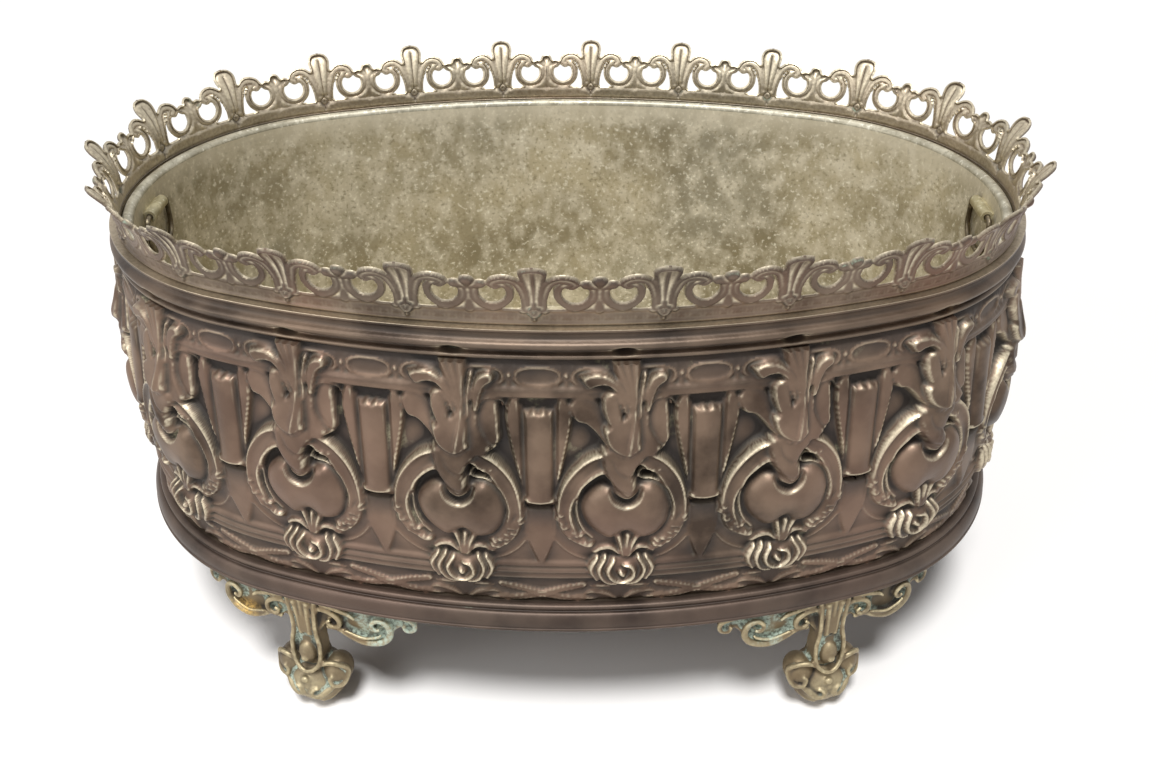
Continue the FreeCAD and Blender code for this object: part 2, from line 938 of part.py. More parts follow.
def save(name, shape):
    shape.exportStep("parts/" + name + ".step")
    print(name, len(shape.Solids), "solid", round(shape.Volume / 1000, 2), "cm3", shape.isValid())


def main():
    os.makedirs("parts", exist_ok=True)
    half_panels = panel_count // 2
    save("rear_wall", pressed_wall(0))
    save("front_wall", pressed_wall(half_panels))
    save("top_moulding", top_moulding())
    first_bud = (gallery_phase_share - 0.5) * gallery_pitch
    save("rear_gallery", gallery_strip(first_bud + perimeter))
    save("front_gallery", gallery_strip(first_bud + perimeter / 2))
    save("base_moulding", base_moulding())
    save("bottom_plate", bottom_plate())
    save("seam_straps", seam_straps())
    for right, front in ((False, True), (True, True), (False, False), (True, False)):
        name = ("front" if front else "rear") + "_" + ("right" if right else "left") + "_foot"
        save(name, foot(right, front))
    save("foot_screws", foot_screws())
    save("foot_washers", foot_washers())
    wall = liner_wall()
    save("liner_wall", wall)
    save("liner_rim", liner_rim())
    save("liner_bottom", liner_bottom())
    for side, name in ((-1, "left"), (1, "right")):
        save(name + "_sleeve", sleeve(side, wall))
        save(name + "_bail", bail(side))


main()
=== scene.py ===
import bpy
import math
import numpy as np
from mathutils import Matrix


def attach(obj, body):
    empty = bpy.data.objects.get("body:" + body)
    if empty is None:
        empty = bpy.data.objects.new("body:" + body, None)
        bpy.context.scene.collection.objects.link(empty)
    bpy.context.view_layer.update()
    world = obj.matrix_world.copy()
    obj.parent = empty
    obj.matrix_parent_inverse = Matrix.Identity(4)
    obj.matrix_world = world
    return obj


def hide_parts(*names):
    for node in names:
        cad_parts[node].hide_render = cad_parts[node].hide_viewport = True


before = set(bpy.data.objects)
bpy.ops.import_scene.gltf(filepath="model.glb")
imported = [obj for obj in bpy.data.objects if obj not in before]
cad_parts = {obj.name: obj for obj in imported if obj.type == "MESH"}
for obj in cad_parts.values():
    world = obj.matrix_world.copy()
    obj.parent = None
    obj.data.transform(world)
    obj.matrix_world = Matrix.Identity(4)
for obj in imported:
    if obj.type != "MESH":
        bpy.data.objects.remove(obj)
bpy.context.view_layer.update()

# Oval jardiniere in dark-patinated brass: pressed case, pierced gallery, cast scroll feet, lift-out zinc liner.
# Shapes are worked out in millimetres and turned to metres where a mesh is placed.

oval = {
    "halfLength": 200.0,
    "halfWidth": 119.6,
    "endRound": 0.853,      # end radius as a share of the half width
    "beadLine": 218.0,      # height of the bead row at the gallery's foot
    "galleryCount": 22,
    "galleryPhase": 0.2712,
    "panelCount": 16,
    "panelPhase": 0.346,
}

endRadius = oval["halfWidth"] * oval["endRound"]
endCentre = oval["halfLength"] - endRadius
sideRadius = (endCentre**2 + oval["halfWidth"]**2 - endRadius**2) / (2 * (oval["halfWidth"] - endRadius))
sideCentre = sideRadius - oval["halfWidth"]
endAngle = math.atan2(sideCentre, endCentre)
endRun = endRadius * endAngle
sideRun = sideRadius * (math.pi - 2 * endAngle)
perimeter = 4 * endRun + 2 * sideRun
galleryPitch = perimeter / oval["galleryCount"]
panelPitch = perimeter / oval["panelCount"]
beadLine = oval["beadLine"]

arcStarts = np.array([0, endRun, endRun + sideRun, 3 * endRun + sideRun, 3 * endRun + 2 * sideRun])
arcMiddleX = np.array([endCentre, 0, -endCentre, 0, endCentre])
arcMiddleY = np.array([0, -sideCentre, 0, sideCentre, 0])
arcRadii = np.array([endRadius, sideRadius, endRadius, sideRadius, endRadius])
arcTurns = np.array([0, endAngle, math.pi - endAngle, math.pi + endAngle, 2 * math.pi - endAngle])


def ovalPlace(run, out, height):  # run counter-clockwise from the right-hand tip, way out from the bead line
    run = np.mod(run, perimeter)
    arc = np.searchsorted(arcStarts, run, side="right") - 1
    turn = arcTurns[arc] + (run - arcStarts[arc]) / arcRadii[arc]
    reach = arcRadii[arc] + out
    x = arcMiddleX[arc] + reach * np.cos(turn)
    y = arcMiddleY[arc] + reach * np.sin(turn)
    return np.stack([x, y, np.broadcast_to(height, x.shape)], axis=-1) / 1000


# mesh helpers

def deselectAll():
    if bpy.context.object and bpy.context.object.mode != "OBJECT":
        bpy.ops.object.mode_set(mode="OBJECT")
    bpy.ops.object.select_all(action="DESELECT")


def makeActive(piece):
    deselectAll()
    piece.select_set(True)
    bpy.context.view_layer.objects.active = piece


def vertexPlaces(piece):
    places = np.empty(3 * len(piece.data.vertices))
    piece.data.vertices.foreach_get("co", places)
    return places.reshape(-1, 3)


def vertexNormals(piece):
    normals = np.empty(3 * len(piece.data.vertices), dtype=np.float32)
    piece.data.vertex_normals.foreach_get("vector", normals)
    return normals.reshape(-1, 3)


def writeShares(piece, title, values):  # a value from 0 to 1 at each vertex, for the materials
    layer = piece.data.attributes.get(title) or piece.data.attributes.new(title, "FLOAT", "POINT")
    layer.data.foreach_set("value", values.astype(np.float32))


def readShares(piece, title):
    values = np.empty(len(piece.data.vertices), dtype=np.float32)
    piece.data.attributes[title].data.foreach_get("value", values)
    return values


def freshGrid(name, columns, rows):  # a grid primitive and each vertex's column and row
    deselectAll()
    bpy.ops.mesh.primitive_grid_add(x_subdivisions=columns, y_subdivisions=rows, size=2, calc_uvs=False)
    piece = bpy.context.object
    piece.name = name
    piece.data.name = name
    places = vertexPlaces(piece)
    column = np.rint((places[:, 0] + 1) / 2 * columns).astype(int)
    row = np.rint((places[:, 1] + 1) / 2 * rows).astype(int)
    return piece, column, row


def moveVertices(piece, places):
    piece.data.vertices.foreach_set("co", np.ascontiguousarray(places, dtype=np.float32).ravel())
    piece.data.update()


def editWhole(piece, step, **settings):  # runs a mesh operator on the whole piece
    makeActive(piece)
    bpy.ops.object.mode_set(mode="EDIT")
    bpy.ops.mesh.select_all(action="SELECT")
    step(**settings)
    bpy.ops.object.mode_set(mode="OBJECT")


def mergeDoubles(piece, fillEnds=False):
    editWhole(piece, bpy.ops.mesh.remove_doubles, threshold=0.000002)
    if fillEnds:
        editWhole(piece, bpy.ops.mesh.fill_holes, sides=0)


def turnOutwards(piece):
    editWhole(piece, bpy.ops.mesh.normals_make_consistent, inside=False)


def applyModifier(piece, kind, **settings):
    modifier = piece.modifiers.new(kind, kind)
    for title, value in settings.items():
        setattr(modifier, title, value)
    bpy.ops.object.modifier_apply(modifier=modifier.name)


def smoothFaces(piece, angle=None):
    makeActive(piece)
    if angle is None:
        bpy.ops.object.shade_smooth()
    else:
        bpy.ops.object.shade_smooth_by_angle(angle=math.radians(angle))


def carryRound(name, runs, outs, heights, whole):
    # a section of (way out, height) rows carried along the runs: up the outside, then down the inside
    piece, column, row = freshGrid(name, len(runs) - 1, len(outs) - 1)
    outs = np.broadcast_to(np.asarray(outs).reshape(len(outs), -1), (len(outs), len(runs)))
    heights = np.broadcast_to(np.asarray(heights).reshape(len(heights), -1), outs.shape)
    moveVertices(piece, ovalPlace(runs[column], outs[row, column], heights[row, column]))
    mergeDoubles(piece, fillEnds=not whole)
    return piece


def weather(piece, fineSteps, broadSteps, edgeSpan, hollowSpan):
    # worn edges and dirt-filled hollows, from how far in mm each vertex stands over its smoothed surroundings
    places = vertexPlaces(piece) * 1000
    normals = vertexNormals(piece)
    count = len(places)
    ends = np.empty(2 * len(piece.data.edges), dtype=np.int32)
    piece.data.edges.foreach_get("vertices", ends)
    a, b = ends[0::2], ends[1::2]
    degree = np.maximum(np.bincount(a, minlength=count) + np.bincount(b, minlength=count), 1)
    soft = places.copy()
    edge = np.zeros(count)
    for step in range(broadSteps):
        for axis in range(3):
            line = soft[:, axis]
            total = np.bincount(a, line[b], count) + np.bincount(b, line[a], count)
            soft[:, axis] = 0.5 * line + 0.5 * total / degree
        if step == fineSteps - 1:
            edge = np.einsum("ij,ij->i", places - soft, normals)
    hollow = np.einsum("ij,ij->i", soft - places, normals)
    for title, values, (start, full) in (("edgeWear", edge, edgeSpan), ("hollow", hollow, hollowSpan)):
        writeShares(piece, title, np.clip((values - start) / (full - start), 0, 1))


def finish(piece, body, look, node):
    piece.data.materials.clear()
    piece.data.materials.append(materials[look])
    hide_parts(node)
    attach(piece, body)
    print("made", piece.name, sum(len(face.vertices) - 2 for face in piece.data.polygons), "triangles")


# relief helpers: a canvas holds way along, drop, ground level, relief and cut-out, all in mm

def newCanvas(pitch, columns, drops, ground):
    across = (np.arange(columns) + 0.5) * pitch / columns - pitch / 2
    along, drop = np.meshgrid(across, drops)
    return {
        "pitch": pitch,
        "along": along,
        "drop": drop,
        "ground": ground(along, drop),
        "relief": ground(along, drop),
        "mask": np.full(along.shape, -9.0),
    }


def smoothLine(points, closed=False, steps=6):  # a smooth curve through the points, carrying their other values
    points = np.array(points, dtype=float)
    if closed:
        padded = np.vstack([points[-1:], points, points[:2]])
    else:
        padded = np.vstack([2 * points[:1] - points[1:2], points, 2 * points[-1:] - points[-2:-1]])
    line = []
    for first, second, third, fourth in zip(padded, padded[1:], padded[2:], padded[3:]):
        for s in np.arange(steps) / steps:
            line.append(0.5 * (2 * second + (third - first) * s
                               + (2 * first - 5 * second + 4 * third - fourth) * s**2
                               + (3 * second - first - 3 * third + fourth) * s**3))
    line.append(padded[-2])
    return np.array(line)


def wrapped(canvas, middle):
    return np.mod(canvas["along"] - middle + canvas["pitch"] / 2, canvas["pitch"]) - canvas["pitch"] / 2 + middle


def patchNear(canvas, line, reach):  # the rows that a form along this line can touch, their way along and drop
    drops = canvas["drop"][:, 0]
    rows = (drops >= line[:, 1].min() - reach) & (drops <= line[:, 1].max() + reach)
    return rows, wrapped(canvas, line[:, 0].mean())[rows], canvas["drop"][rows]


def offSegment(along, drop, a, b):  # how far between a and b each cell's nearest point lies, and its distance
    stepX, stepY = b[0] - a[0], b[1] - a[1]
    s = np.clip(((along - a[0]) * stepX + (drop - a[1]) * stepY) / (stepX**2 + stepY**2 + 1e-9), 0, 1)
    return s, np.hypot(along - a[0] - s * stepX, drop - a[1] - s * stepY)


def raiseTo(canvas, rows, level, share):
    ground, before = canvas["ground"][rows], canvas["relief"][rows]
    lifted = ground + (level - ground) * share
    canvas["relief"][rows] = np.where(share > 0, np.maximum(before, lifted), before)


def layStroke(canvas, shape, points, closed=False):
    # points are way along, drop, half width, level; a groove's level is its depth
    line = smoothLine(points, closed)
    rows, along, drop = patchNear(canvas, line, line[:, 2].max() + 1)
    best = np.full(along.shape, 9.0)
    level = np.zeros(along.shape)
    inside = np.full(along.shape, -9.0)
    for a, b in zip(line, line[1:]):
        s, far = offSegment(along, drop, a, b)
        half = np.maximum(a[2] + s * (b[2] - a[2]), 0.05)
        inside = np.maximum(inside, half - far)
        closer = far / half < best
        best = np.where(closer, far / half, best)
        level = np.where(closer, a[3] + s * (b[3] - a[3]), level)
    r = np.minimum(best, 1)
    if shape == "ridge":
        share = (1 - r) ** 1.3
    elif shape == "band":     # hollow between two raised edges
        share = (0.62 + 0.38 * np.minimum(r / 0.78, 1) ** 2.5) * np.sqrt(1 - np.maximum((r - 0.78) / 0.22, 0) ** 2)
    elif shape == "leaf":     # rounded, with a groove down its middle
        share = np.sqrt(1 - r**2) * (1 - 0.3 * np.exp(-((r / 0.25) ** 2)))
    else:
        share = np.sqrt(1 - r**2)
    share = np.where(best < 1, share, 0)
    if shape == "groove":
        canvas["relief"][rows] -= level * share
    else:
        raiseTo(canvas, rows, level, share)
    canvas["mask"][rows] = np.maximum(canvas["mask"][rows], inside)


def layPad(canvas, outline, levelTop, levelLow, edge, crown=0.0):
    # a closed outline of way along and drop, rounded over at its edge
    line = smoothLine(outline, closed=True)
    rows, along, drop = patchNear(canvas, line, 1)
    far = np.full(along.shape, 99.0)
    odd = np.zeros(along.shape, dtype=bool)
    for a, b in zip(line, line[1:]):
        far = np.minimum(far, offSegment(along, drop, a, b)[1])
        rise = b[1] - a[1]
        at = a[0] + (drop - a[1]) * (b[0] - a[0]) / (rise if abs(rise) > 1e-9 else 1e-9)
        odd ^= ((a[1] > drop) != (b[1] > drop)) & (along < at)
    depth = np.where(odd, far, 0)
    share = np.sqrt(1 - (1 - np.minimum(depth / edge, 1)) ** 2)
    level = np.interp(drop, [line[:, 1].min(), line[:, 1].max()], [levelTop, levelLow])
    level = level + crown * (1 - (1 - depth / max(depth.max(), 1e-6)) ** 2)
    raiseTo(canvas, rows, level, share)
    canvas["mask"][rows] = np.maximum(canvas["mask"][rows], np.where(odd, far, -far))


def blurred(tile, steps, held=False):  # periodic along the oval; the end rows are held, or eased inwards
    for _ in range(steps):
        tile = 0.5 * tile + 0.25 * (np.roll(tile, 1, axis=1) + np.roll(tile, -1, axis=1))
        inner = 0.5 * tile[1:-1] + 0.25 * (tile[:-2] + tile[2:])
        first, last = tile[:1], tile[-1:]
        if not held:
            first, last = 0.5 * (first + tile[1:2]), 0.5 * (last + tile[-2:-1])
        tile = np.vstack([first, inner, last])
    return tile


def placed(points, at=0, side=1):  # points moved along, and mirrored first where side is -1
    return [(at + side * point[0],) + tuple(point[1:]) for point in points]


def carried(tile, cells):  # a tile's columns repeated along the oval, read half-way between two cells
    columns = tile.shape[1]
    return 0.5 * (tile[:, (cells - 1) % columns] + tile[:, cells % columns])


def layForms(canvas, forms, at=0, side=1):
    for shape, points, *levels in forms:
        if shape == "pad":
            layPad(canvas, placed(points, at, side), *levels)
        else:
            layStroke(canvas, shape, placed(points, at, side))


def layPairs(canvas, forms, at=0):  # the forms to the left and to the right of a line
    for side in (-1, 1):
        layForms(canvas, forms, at, side)


def layLine(canvas, shape, drop, half, level):  # straight along the whole canvas
    reach = canvas["pitch"] / 2
    layStroke(canvas, shape, [(along, drop, half, level) for along in (-reach, 0, reach)])


def ringPoints(middle, halves, turns, *sizes, power=1):  # a power under 1 gives an oval fuller corners
    return [(middle[0] + halves[0] * math.copysign(abs(math.cos(turn)) ** power, math.cos(turn)),
             middle[1] + halves[1] * math.copysign(abs(math.sin(turn)) ** power, math.sin(turn)), *sizes)
            for turn in turns]


# materials

def linear(code):
    values = [int(code[start:start + 2], 16) / 255 for start in (1, 3, 5)]
    return tuple(v / 12.92 if v <= 0.04045 else ((v + 0.055) / 1.055) ** 2.4 for v in values) + (1.0,)


def addNode(tree, kind, inputs=None, **settings):  # an input is a socket to link or a value to set
    node = tree.nodes.new("ShaderNode" + kind)
    for title, value in settings.items():
        setattr(node, title, value)
    for socket, value in (inputs or {}).items():
        if isinstance(value, bpy.types.NodeSocket):
            tree.links.new(value, node.inputs[socket])
        else:
            node.inputs[socket].default_value = value
    return node.outputs


def newMaterial(name):
    material = bpy.data.materials.new(name)
    material.use_nodes = True
    tree = material.node_tree
    return material, tree, tree.nodes["Principled BSDF"]


# Patinated brass: a thin brown oxide with a dull sheen, rubbed back to pale metal on every edge that a cloth
# reaches, with dirt and green copper salts left in the hollows; on the case wall the dirt colour also paints shade
brassLooks = {
    "pressedBrass": {"name": "pressedPatinatedBrass", "dark": "#3f3228", "mid": "#786555", "warm": "#82695a",
        "worn": "#d6cab0", "grimeAndShade": "#120a06", "bloom": "#a9a384", "bloomShare": -0.06, "wear": 0.85, "rough": 0.38},
    "plainBrass": {"name": "rolledPatinatedBrass", "dark": "#3c322b", "mid": "#6a5b4e", "warm": "#786453",
        "worn": "#c2b49c", "grimeAndShade": "#120c09", "bloom": "#9aa38c", "bloomShare": 0.0, "wear": 0.8, "rough": 0.34},
    # the base moulding's darker copy of the rolled brass: painted shade on its downward-facing round
    "baseBrass": {"name": "darkRolledBrass", "dark": "#352c27", "mid": "#584b42", "warm": "#635248",
        "worn": "#a4947f", "grimeAndShade": "#120c09", "bloom": "#9aa38c", "bloomShare": 0.0, "wear": 0.8, "rough": 0.4},
    "galleryBrass": {"name": "stampedPatinatedBrass", "dark": "#4c4036", "mid": "#786a5c", "warm": "#80604f",
        "worn": "#ddd2b8", "grimeAndShade": "#1b1410", "bloom": "#98a892", "bloomShare": 0.06, "wear": 0.85, "rough": 0.38},
    "castBrass": {"name": "castPatinatedBrass", "dark": "#5a4e3f", "mid": "#857860", "warm": "#8b785a",
        "worn": "#dccfa9", "grimeAndShade": "#1f1811", "bloom": "#b4c4b4", "bloomShare": 0.1, "wear": 0.95, "rough": 0.45},
    "hiddenBrass": {"name": "dullSheetBrass", "dark": "#3d352f", "mid": "#5d5148", "warm": "#6a574a",
        "worn": "#a39272", "grimeAndShade": "#1d1815", "bloom": "#7f907c", "bloomShare": 0.0, "wear": 0.0, "rough": 0.5},
}
yellowDeposit = "#d9b46a"


def brassMaterial(look):
    material, tree, surface = newMaterial(look["name"])
    place = addNode(tree, "TexCoord")["Object"]
    # patches of 22 mm and 70 mm, and flecks of 1.4 mm
    blotch, cloud, fleck = [addNode(tree, "TexNoise", {"Vector": place, "Scale": scale, "Detail": detail})[0]
                            for scale, detail in ((45, 5), (14, 3), (700, 4))]
    edgeWear, hollow, damp, stain = [addNode(tree, "Attribute", attribute_name=title)["Fac"]
                                     for title in ("edgeWear", "hollow", "damp", "stain")]
    midShare, warmShare, patchy, grain, wet = [
        addNode(tree, "MapRange", {0: source, 1: low, 2: high, 3: least, 4: most})[0]
        for source, low, high, least, most in (
            (blotch, 0.35, 0.62, 0, 1), (cloud, 0.42, 0.68, 0, 0.7), (fleck, 0.25, 0.6, 0.45, look["wear"]),
            (fleck, 0.4, 0.6, 0.2, 0.85), (hollow, 0.05, 0.6, 0, 0.22))]
    # salts sit where it is hollow or was kept wet
    wet = addNode(tree, "Math", {0: wet, 1: blotch}, operation="ADD")[0]
    wet = addNode(tree, "Math", {0: damp, 1: 0.3, 2: wet}, operation="MULTIPLY_ADD")[0]
    salts = addNode(tree, "MapRange", {0: wet, 1: 0.78 - look["bloomShare"], 2: 0.9 - look["bloomShare"]})[0]
    # the hollow share lays on the grime colour: dirt in the hollows, and on the case wall also painted shade
    rubbed, dirtAndShade, salts, stain = [
        addNode(tree, "Math", {0: share, 1: by}, operation="MULTIPLY")[0]
        for share, by in ((edgeWear, patchy), (hollow, 0.94), (salts, grain), (stain, grain))]
    skin = linear(look["dark"])
    for share, colour in ((midShare, look["mid"]), (warmShare, look["warm"]), (rubbed, look["worn"]),
                          (dirtAndShade, look["grimeAndShade"]), (salts, look["bloom"]), (stain, yellowDeposit)):
        skin = addNode(tree, "Mix", {0: share, 6: skin, 7: linear(colour)}, data_type="RGBA")[2]
    bare = addNode(tree, "MapRange", {0: rubbed, 3: 0.72, 4: 0.95})[0]
    for cover in (dirtAndShade, salts):
        bare = addNode(tree, "Math", {0: bare, 1: cover}, operation="SUBTRACT", use_clamp=True)[0]
    rough = look["rough"]
    rough = addNode(tree, "MapRange", {0: blotch, 1: 0.3, 2: 0.7, 3: rough, 4: rough + 0.14})[0]
    rough = addNode(tree, "Math", {0: hollow, 1: 0.3, 2: rough}, operation="MULTIPLY_ADD")[0]
    pits = addNode(tree, "Bump", {"Strength": 0.25, "Distance": 0.0003, "Height": fleck})[0]
    for source, title in ((skin, "Base Color"), (bare, "Metallic"), (rough, "Roughness"), (pits, "Normal")):
        tree.links.new(source, surface.inputs[title])
    return material


# Zinc-coated sheet, rolled and soldered: grey with an olive bloom, speckled with lime and rust from watering
zincLooks = {
    "zincInside": {"name": "weatheredZincSheet", "dark": "#8d8265", "mid": "#c4b899", "grey": "#aaa696",
        "pale": "#e0d7c0", "speck": "#f0ead6", "rough": 0.6, "metal": 0.1, "rimHighlightFrom": 0.1985},
    "zincRim": {"name": "rubbedZincRim", "dark": "#8f8976", "mid": "#b4ad98", "grey": "#a5a498",
        "pale": "#d6d0bc", "speck": "#e8e4d4", "rough": 0.42, "metal": 0.35, "rimHighlightFrom": 1.0},
    "zincSleeve": {"name": "solderedZincSleeve", "dark": "#968c6a", "mid": "#b8ad88", "grey": "#a8a48e",
        "pale": "#d2c8a4", "speck": "#e2dcc0", "rough": 0.45, "metal": 0.4, "rimHighlightFrom": 1.0},
    "tarnishedWire": {"name": "tarnishedDrawnWire", "dark": "#4d4436", "mid": "#6e6350", "grey": "#6a655c",
        "pale": "#8a7e68", "speck": "#a89c80", "rough": 0.4, "metal": 0.8, "rimHighlightFrom": 1.0},
}


def zincMaterial(look):
    material, tree, surface = newMaterial(look["name"])
    place = addNode(tree, "TexCoord")["Object"]
    height = addNode(tree, "SeparateXYZ", {0: place})[2]
    runny = addNode(tree, "Mapping", {"Vector": place, "Scale": (1.0, 1.0, 0.75)})[0]
    # clouds of 60 mm, haze of 110 mm, mottles of 8 mm drawn out downwards, and specks of 2 mm
    cloud, haze, mottle, speck = [addNode(tree, "TexNoise", {"Vector": on, "Scale": scale, "Detail": detail})[0]
                                  for on, scale, detail in ((place, 16, 6), (place, 9, 4), (runny, 130, 6),
                                                            (place, 520, 3))]
    # a painted highlight: above this height in metres the liner's inside turns pale, standing in for light caught
    # where the wall flares into the rolled rim; 1.0 leaves it out
    rimHighlightFrom = look["rimHighlightFrom"]
    skin = linear(look["dark"])
    for source, low, high, most, colour in (
            (cloud, 0.36, 0.62, 1, "mid"), (haze, 0.46, 0.66, 0.7, "grey"), (mottle, 0.42, 0.68, 0.75, "pale"),
            (speck, 0.58, 0.7, 0.75, "speck"), (speck, 0.44, 0.3, 0.7, "dark"),
            (height, rimHighlightFrom, rimHighlightFrom + 0.01, 0.6, "pale")):
        share = addNode(tree, "MapRange", {0: source, 1: low, 2: high, 4: most})[0]
        skin = addNode(tree, "Mix", {0: share, 6: skin, 7: linear(look[colour])}, data_type="RGBA")[2]
    surface.inputs["Metallic"].default_value = look["metal"]
    rough = look["rough"]
    rough = addNode(tree, "MapRange", {0: mottle, 1: 0.3, 2: 0.7, 3: rough - 0.08, 4: rough + 0.14})[0]
    pits = addNode(tree, "Bump", {"Strength": 0.2, "Distance": 0.0004, "Height": mottle})[0]
    for source, title in ((skin, "Base Color"), (rough, "Roughness"), (pits, "Normal")):
        tree.links.new(source, surface.inputs[title])
    return material


materials = {kind: brassMaterial(look) for kind, look in brassLooks.items()}
materials.update({kind: zincMaterial(look) for kind, look in zincLooks.items()})
print("materials ready")


# camera, floor and light

photo = {
    "wide": 1161,
    "focalPixels": 1119.65,
    "sensor": 36,            # mm
    "place": (0.00709, -0.46965, 0.42525),
    "turned": ((0.999996, 0.002677, -0.000865), (-0.000778, 0.558640, 0.829410), (0.002704, -0.829406, 0.558640)),
}

bpy.ops.object.camera_add(location=photo["place"])
camera = bpy.context.object
camera.rotation_euler = Matrix(photo["turned"]).transposed().to_euler()
camera.data.sensor_width = photo["sensor"]
camera.data.lens = photo["sensor"] * photo["focalPixels"] / photo["wide"]
camera.data.clip_start = 0.01
bpy.context.scene.camera = camera

lighting = {
    "skyLevel": 0.17,
    "sun": 2.9,
    "sunSpread": 16,         # degrees across
    "sunLean": (20, -3, 0),
    "fill": 5.0,
    "fillSize": 0.8,
    "fillPlace": (-0.95, -0.75, 0.7),
    "fillLean": (62, 0, -52),
}

deselectAll()
bpy.ops.mesh.primitive_plane_add(size=12, location=(0, 0, 0))
floor = bpy.context.object
floor.name = "floor"
floorPaper, _, floorSurface = newMaterial("whitePaperFloor")
floorSurface.inputs["Base Color"].default_value = linear("#fffdfb")
floorSurface.inputs["Roughness"].default_value = 0.9
floorSurface.inputs["Specular IOR Level"].default_value = 0.1
floor.data.materials.append(floorPaper)

# the world is white where it is seen or mirrored, and gives the object only a low even light
world = bpy.data.worlds.new("whiteStudio")
bpy.context.scene.world = world
world.use_nodes = True
sky = world.node_tree
rays = addNode(sky, "LightPath")
seen = rays["Is Camera Ray"]
for kind in ("Is Glossy Ray", "Is Transmission Ray"):
    seen = addNode(sky, "Math", {0: seen, 1: rays[kind]}, operation="MAXIMUM")[0]
strength = addNode(sky, "MapRange", {0: seen, 3: lighting["skyLevel"], 4: 1.0})[0]
sky.nodes["Background"].inputs["Color"].default_value = (1, 1, 1, 1)
sky.links.new(strength, sky.nodes["Background"].inputs["Strength"])

bpy.ops.object.light_add(type="SUN", location=(0, 0, 1.5))
sun = bpy.context.object
sun.data.energy = lighting["sun"]
sun.data.angle = math.radians(lighting["sunSpread"])
sun.rotation_euler = [math.radians(lean) for lean in lighting["sunLean"]]
bpy.ops.object.light_add(type="AREA", location=lighting["fillPlace"])
fill = bpy.context.object
fill.data.energy = lighting["fill"]
fill.data.size = lighting["fillSize"]
fill.rotation_euler = [math.radians(lean) for lean in lighting["fillLean"]]
bpy.context.scene.view_settings.view_transform = "Standard"
print("camera, floor and light ready")


# case wall: one pressed panel drawn as relief, repeated sixteen times round the oval

wallGround = {  # drop below the bead line, way out of the plain sheet
    "drops": [20, 21.4, 22.2, 30.6, 31.6, 36.2, 38, 41, 58, 82, 100, 113, 117, 126, 128.5, 129.6, 140],
    "outs": [-0.6, 0.2, 0.9, 1.0, 2.2, 2.2, -0.6, -0.4, 2.2, 5.0, 6.6, 5.2, 5.4, 5.6, 3.6, 4.4, 4.6],
    "inner": [(20, -2.0), (41, -1.0), (100, 6.0), (117, 4.0), (140, 3.5)],
    # rounds over the sheet, two under the frieze and three over the ribbon band: middle, half width, height
    "rounds": [(32.6, 1.1, 1.0), (35.0, 1.1, 1.0), (117.9, 1.6, 1.5), (121.6, 1.5, 1.7), (124.9, 1.2, 1.3)],
    "columns": 140,
    "rows": 222,
    "friezeDrop": 26.9,
    "friezeHalf": (8.4, 3.9),
    "pilasterHalf": 5.7,
    "pilasterDrops": [40, 60, 84],
    "pilasterOuts": [4.4, 6.8, 9.6],
    "pilasterTop": 41.4,
    "pilasterFoot": 83.6,
    "crumbs": 26,             # of lime, on each side of the frame
    "panelsEach": 2,          # in one strip
}


def panelGround(along, drop):
    level = np.interp(drop, wallGround["drops"], wallGround["outs"])
    for middle, half, height in wallGround["rounds"]:
        level = level + height * np.sqrt(np.maximum(0, 1 - ((drop - middle) / half) ** 2))
    return level


# the panel's forms: shape, then points of way along, drop, half width and level (a groove's depth);
# a pad has points of way along and drop, then its upper and lower level, edge and crown

eyeBeadForms = [
    ("round", [(0, 26.3, 1, 3), (0, 26.5, 1, 3)]),
    ("ridge", [(-1.15, 27.8, 0.5, 2.4), (-3.68, 30.6, 0.8, 2.6)]),
    ("ridge", [(0, 27.8, 0.5, 2.4), (0, 30.6, 0.8, 2.6)]),
    ("ridge", [(1.15, 27.8, 0.5, 2.4), (3.68, 30.6, 0.8, 2.6)]),
    ("ridge", [(-1.2, 25.2, 0.5, 2.2), (-2.6, 22.8, 0.6, 2.4)]),
    ("ridge", [(1.2, 25.2, 0.5, 2.2), (2.6, 22.8, 0.6, 2.4)]),
]

pilasterForms = [
    # scalloped foot, the deep slot under it and the tongue
    ("round", [(-5, 82, 1.2, 9.2), (0, 82.4, 1.4, 9.8), (5, 82, 1.2, 9.2)]),
    ("groove", [(-5.4, 85.4, 1.6, 3.4), (0, 85.6, 1.9, 4.4), (5.4, 85.4, 1.6, 3.4)]),
    ("pad", [(-4.9, 87.4), (0, 87), (4.9, 87.4), (5, 95), (4.6, 104), (2.4, 112), (0.4, 116.6), (-0.4, 116.6),
        (-2.4, 112), (-4.6, 104), (-5, 95)], 7, 7.4, 0.6),
]

lancetForms = [
    # beside each pilaster: its rim, the lancet leaf and the swag edge that runs to the rosette
    ("ridge", [(6.4, 40, 0.55, 3), (6.4, 60, 0.55, 5.2), (6.4, 84, 0.6, 8), (5.7, 98, 0.55, 7.8), (4.4, 105, 0.6, 8),
        (1, 116.4, 0.6, 7.8)]),
    ("pad", [(-7.2, 39.4), (-9.2, 36.9), (-11.4, 39.8), (-12.2, 47), (-10.4, 58), (-8.2, 70), (-7, 77),
        (-6.9, 60)], 2.6, 7, 0.7),
    ("ridge", [(-7.3, 41, 0.5, 3.2), (-9.3, 37.2, 0.6, 3.4), (-11.6, 40, 0.6, 3.8), (-12.3, 47, 0.6, 4.6),
        (-10.4, 58, 0.6, 6.4), (-7.4, 73, 0.6, 8)]),
    ("ridge", [(-9.6, 42, 0.45, 3.6), (-9.4, 55, 0.45, 5.2), (-7.6, 70, 0.45, 7.4)]),
    ("ridge", [(-5.4, 103, 0.7, 8), (-9.6, 109.2, 0.6, 7.6), (-14.5, 113.4, 0.6, 7.2), (-20.5, 115.6, 0.6, 7.2)]),
]

